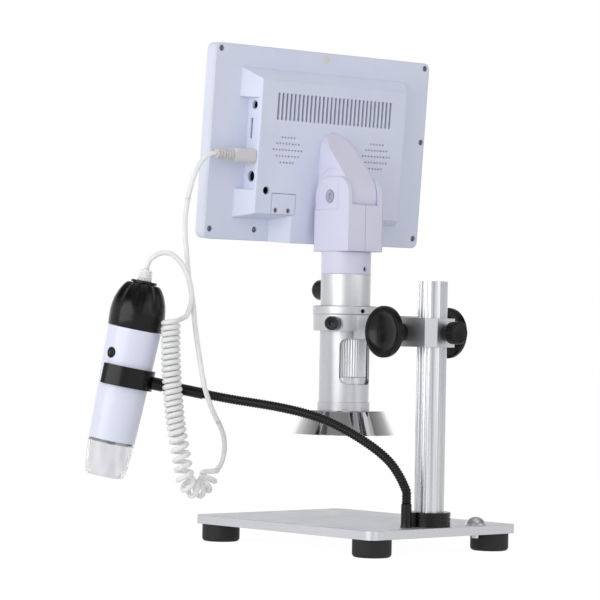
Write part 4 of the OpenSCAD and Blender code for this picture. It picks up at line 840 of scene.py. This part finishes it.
# %% [markdown]
# The lock knob behind the post and the little thumbscrew on the ring have straight knurls, which are close
# V grooves. They are the same turned tree with more flutes and a roundness of one.

# %% The knurled knobs
lock_place = frame_at(0, 85.5, 147.15, -90, "X")
lock = turned("knurled_lock_knob", [
    (0, 0, -4.2), (2.4, 0, -4.2), (2.4, 0, 0), (5.5, 0, 0), (5.5, 0, 4.8), (7.3, 1, 4.9), (7.5, 1, 5.4),
    (7.5, 1, 12.2), (6.8, 0, 12.8), (5.4, 0, 12.8), (5.2, 0, 12.4), (0, 0, 12.4)], lock_place, "black_gloss",
    around=216, flutes=27, depth=0.55, corner=0.25)
riding(lock, "lock", "lock_knob")
thumb_place = frame_at(0, TUBE_Y, 152.35, 30, "Z") @ frame_at(0, 0, 0, 90, "Y")
thumb = turned("knurled_thumbscrew", [
    (0, 0, 17.6), (2, 0, 17.6), (2, 0, 26.5), (4.7, 1, 26.5), (4.9, 1, 26.9), (4.9, 1, 33), (4.4, 0, 33.5),
    (3.4, 0, 33.5), (3.1, 0, 33.1), (1.7, 0, 33.1), (1.5, 0, 31.6), (0, 0, 31.6)], thumb_place,
    "black_gloss", around=160, flutes=20, depth=0.45, corner=0.2)
riding(thumb, "ring_clamp", "ring_clamp_screw")
print("knobs", len(lock.data.polygons) + len(thumb.data.polygons), "faces")

# %% [markdown]
# A thin round paper seal covers the screw in the middle of the case's top edge. It is bare here.

# %% The paper seal
seal_place = SCREEN @ frame_at(0, -32.5, 94.7, -90, "X")
seal = turned("paper_seal", [(0, 0, 0.01), (2.7, 0, 0.01), (2.7, 0, 0.13), (1.2, 0, 0.16), (0, 0, 0.06)],
              seal_place, "lamp_white", around=48, corner=0.03)
riding(seal, "screen")
print("seal", len(seal.data.polygons), "faces")

# %% [markdown]
# The studio is a pale floor under a white surround. The camera sees both as white, also through clear
# parts. Reflections see a room that is bright towards four sides and darker between them, and that has a
# dark gap between its walls and the soft box overhead. Those gaps are what draw a shape in reflections.

# %% Floor and world
def seen_by(tree, *kinds):
    """1 for the kinds of ray that are named, else 0."""
    ray = add(tree, "ShaderNodeLightPath")
    found = ray.outputs[kinds[0]]
    for kind in kinds[1:]:
        found = calc(tree, "MAXIMUM", found, ray.outputs[kind])
    return found


def floor_finish():
    made = bpy.data.materials.new("white sweep")
    made.use_nodes = True
    tree = made.node_tree
    tree.nodes.clear()
    matt = add(tree, "ShaderNodeBsdfDiffuse", {"Color": paint("#F4F4F4")})
    # A tenth of what the camera sees is the matt floor with its shadow, so the glow makes up for its grey
    glow = add(tree, "ShaderNodeEmission", {"Color": (1, 1, 1, 1), "Strength": 1.06})
    direct = seen_by(tree, "Is Camera Ray", "Is Transmission Ray")
    mirrored = seen_by(tree, "Is Glossy Ray")
    share = calc(tree, "MULTIPLY_ADD", direct, 0.9, calc(tree, "MULTIPLY", mirrored, 0.6))
    mixed = add(tree, "ShaderNodeMixShader", {
        "Fac": share, 1: matt.outputs["BSDF"], 2: glow.outputs["Emission"]})
    add(tree, "ShaderNodeOutputMaterial", {"Surface": mixed.outputs["Shader"]})
    return made


FAR = 6
corners = [(-FAR, -FAR, 0), (FAR, -FAR, 0), (FAR, FAR, 0), (-FAR, FAR, 0)]
floor_mesh = bpy.data.meshes.new("floor")
floor_mesh.from_pydata(corners, [], [(0, 1, 2, 3)])
floor = bpy.data.objects.new("floor", floor_mesh)
floor_mesh.materials.append(floor_finish())
bpy.context.scene.collection.objects.link(floor)

studio = bpy.data.worlds.new("studio")
bpy.context.scene.world = studio
studio.use_nodes = True
sky = studio.node_tree
sky.nodes.clear()
direction = add(sky, "ShaderNodeTexCoord").outputs["Generated"]


def bright_side(azimuth, inner, outer):
    """1 within inner degrees of a compass direction, fading to 0 at outer degrees."""
    flat = add(sky, "ShaderNodeVectorMath", {0: direction, 1: (1, 1, 0)}, operation="MULTIPLY")
    flat = add(sky, "ShaderNodeVectorMath", {0: flat.outputs["Vector"]}, operation="NORMALIZE")
    towards = (cos(radians(azimuth)), sin(radians(azimuth)), 0)
    near = add(sky, "ShaderNodeVectorMath", {0: flat.outputs["Vector"], 1: towards}, operation="DOT_PRODUCT")
    return spread(sky, near.outputs["Value"], (cos(radians(outer)), cos(radians(inner))), (0, 1),
                  interpolation_type="SMOOTHSTEP")


# Each side of the room: its compass direction, how far it is fully bright and where it ends, its gain
BRIGHT_SIDES = ((8, 20, 50, 0.25), (94, 8, 38, 0.85), (290, 25, 65, 0.3), (226, 20, 55, 0.5))
sides = 0.55
for azimuth, inner, outer, gain in BRIGHT_SIDES:
    sides = calc(sky, "MULTIPLY_ADD", bright_side(azimuth, inner, outer), gain, sides)
height = add(sky, "ShaderNodeSeparateXYZ", {"Vector": direction}).outputs["Z"]
below_gap = spread(sky, height, (0.35, 0.66), (1, 0.12))
above_gap = spread(sky, height, (0.84, 0.95), (0, 0.6))
overhead = calc(sky, "ADD", below_gap, above_gap)
mirrored_level = calc(sky, "MULTIPLY", sides, overhead)
plain_level = spread(sky, seen_by(sky, "Is Camera Ray", "Is Transmission Ray"), (0, 1), (0.52, 1))
level = add(sky, "ShaderNodeMix", {
    "Factor": seen_by(sky, "Is Glossy Ray"), "A": plain_level, "B": mirrored_level},
    data_type="FLOAT").outputs["Result"]
light = add(sky, "ShaderNodeBackground", {"Color": (1, 1, 1, 1), "Strength": level})
add(sky, "ShaderNodeOutputWorld", {"Surface": light.outputs["Background"]})
print("floor and world ready")

# %% [markdown]
# Three soft boxes: a broad one above, one from the left of the camera and a weaker one from the right.

# %% Lamps
def soft_box(name, at, size, power):
    """A rectangular lamp turned towards the middle of the microscope, in metres and watts."""
    lamp = bpy.data.lights.new(name, "AREA")
    lamp.shape = "RECTANGLE"
    lamp.size, lamp.size_y = size
    lamp.energy = power
    placed = bpy.data.objects.new(name, lamp)
    placed.location = at
    placed.rotation_euler = (MIDDLE - Vector(at)).to_track_quat("-Z", "Y").to_euler()
    bpy.context.scene.collection.objects.link(placed)


MIDDLE = Vector((0.03, 0, 0.15))
soft_box("box_above", (0.1, 0.2, 1.6), (3.0, 3.0), 6)
soft_box("box_left", (1.5, 0.1, 0.45), (1.6, 0.75), 8.5)
soft_box("box_right", (-0.5, 1.5, 0.6), (1.2, 1.4), 1.8)
bpy.context.scene.view_settings.view_transform = "Standard"

# %% Sizes and finish
def plain(box):
    """A box's corners as short plain numbers."""
    return [[round(float(v), 6) for v in corner] for corner in box]
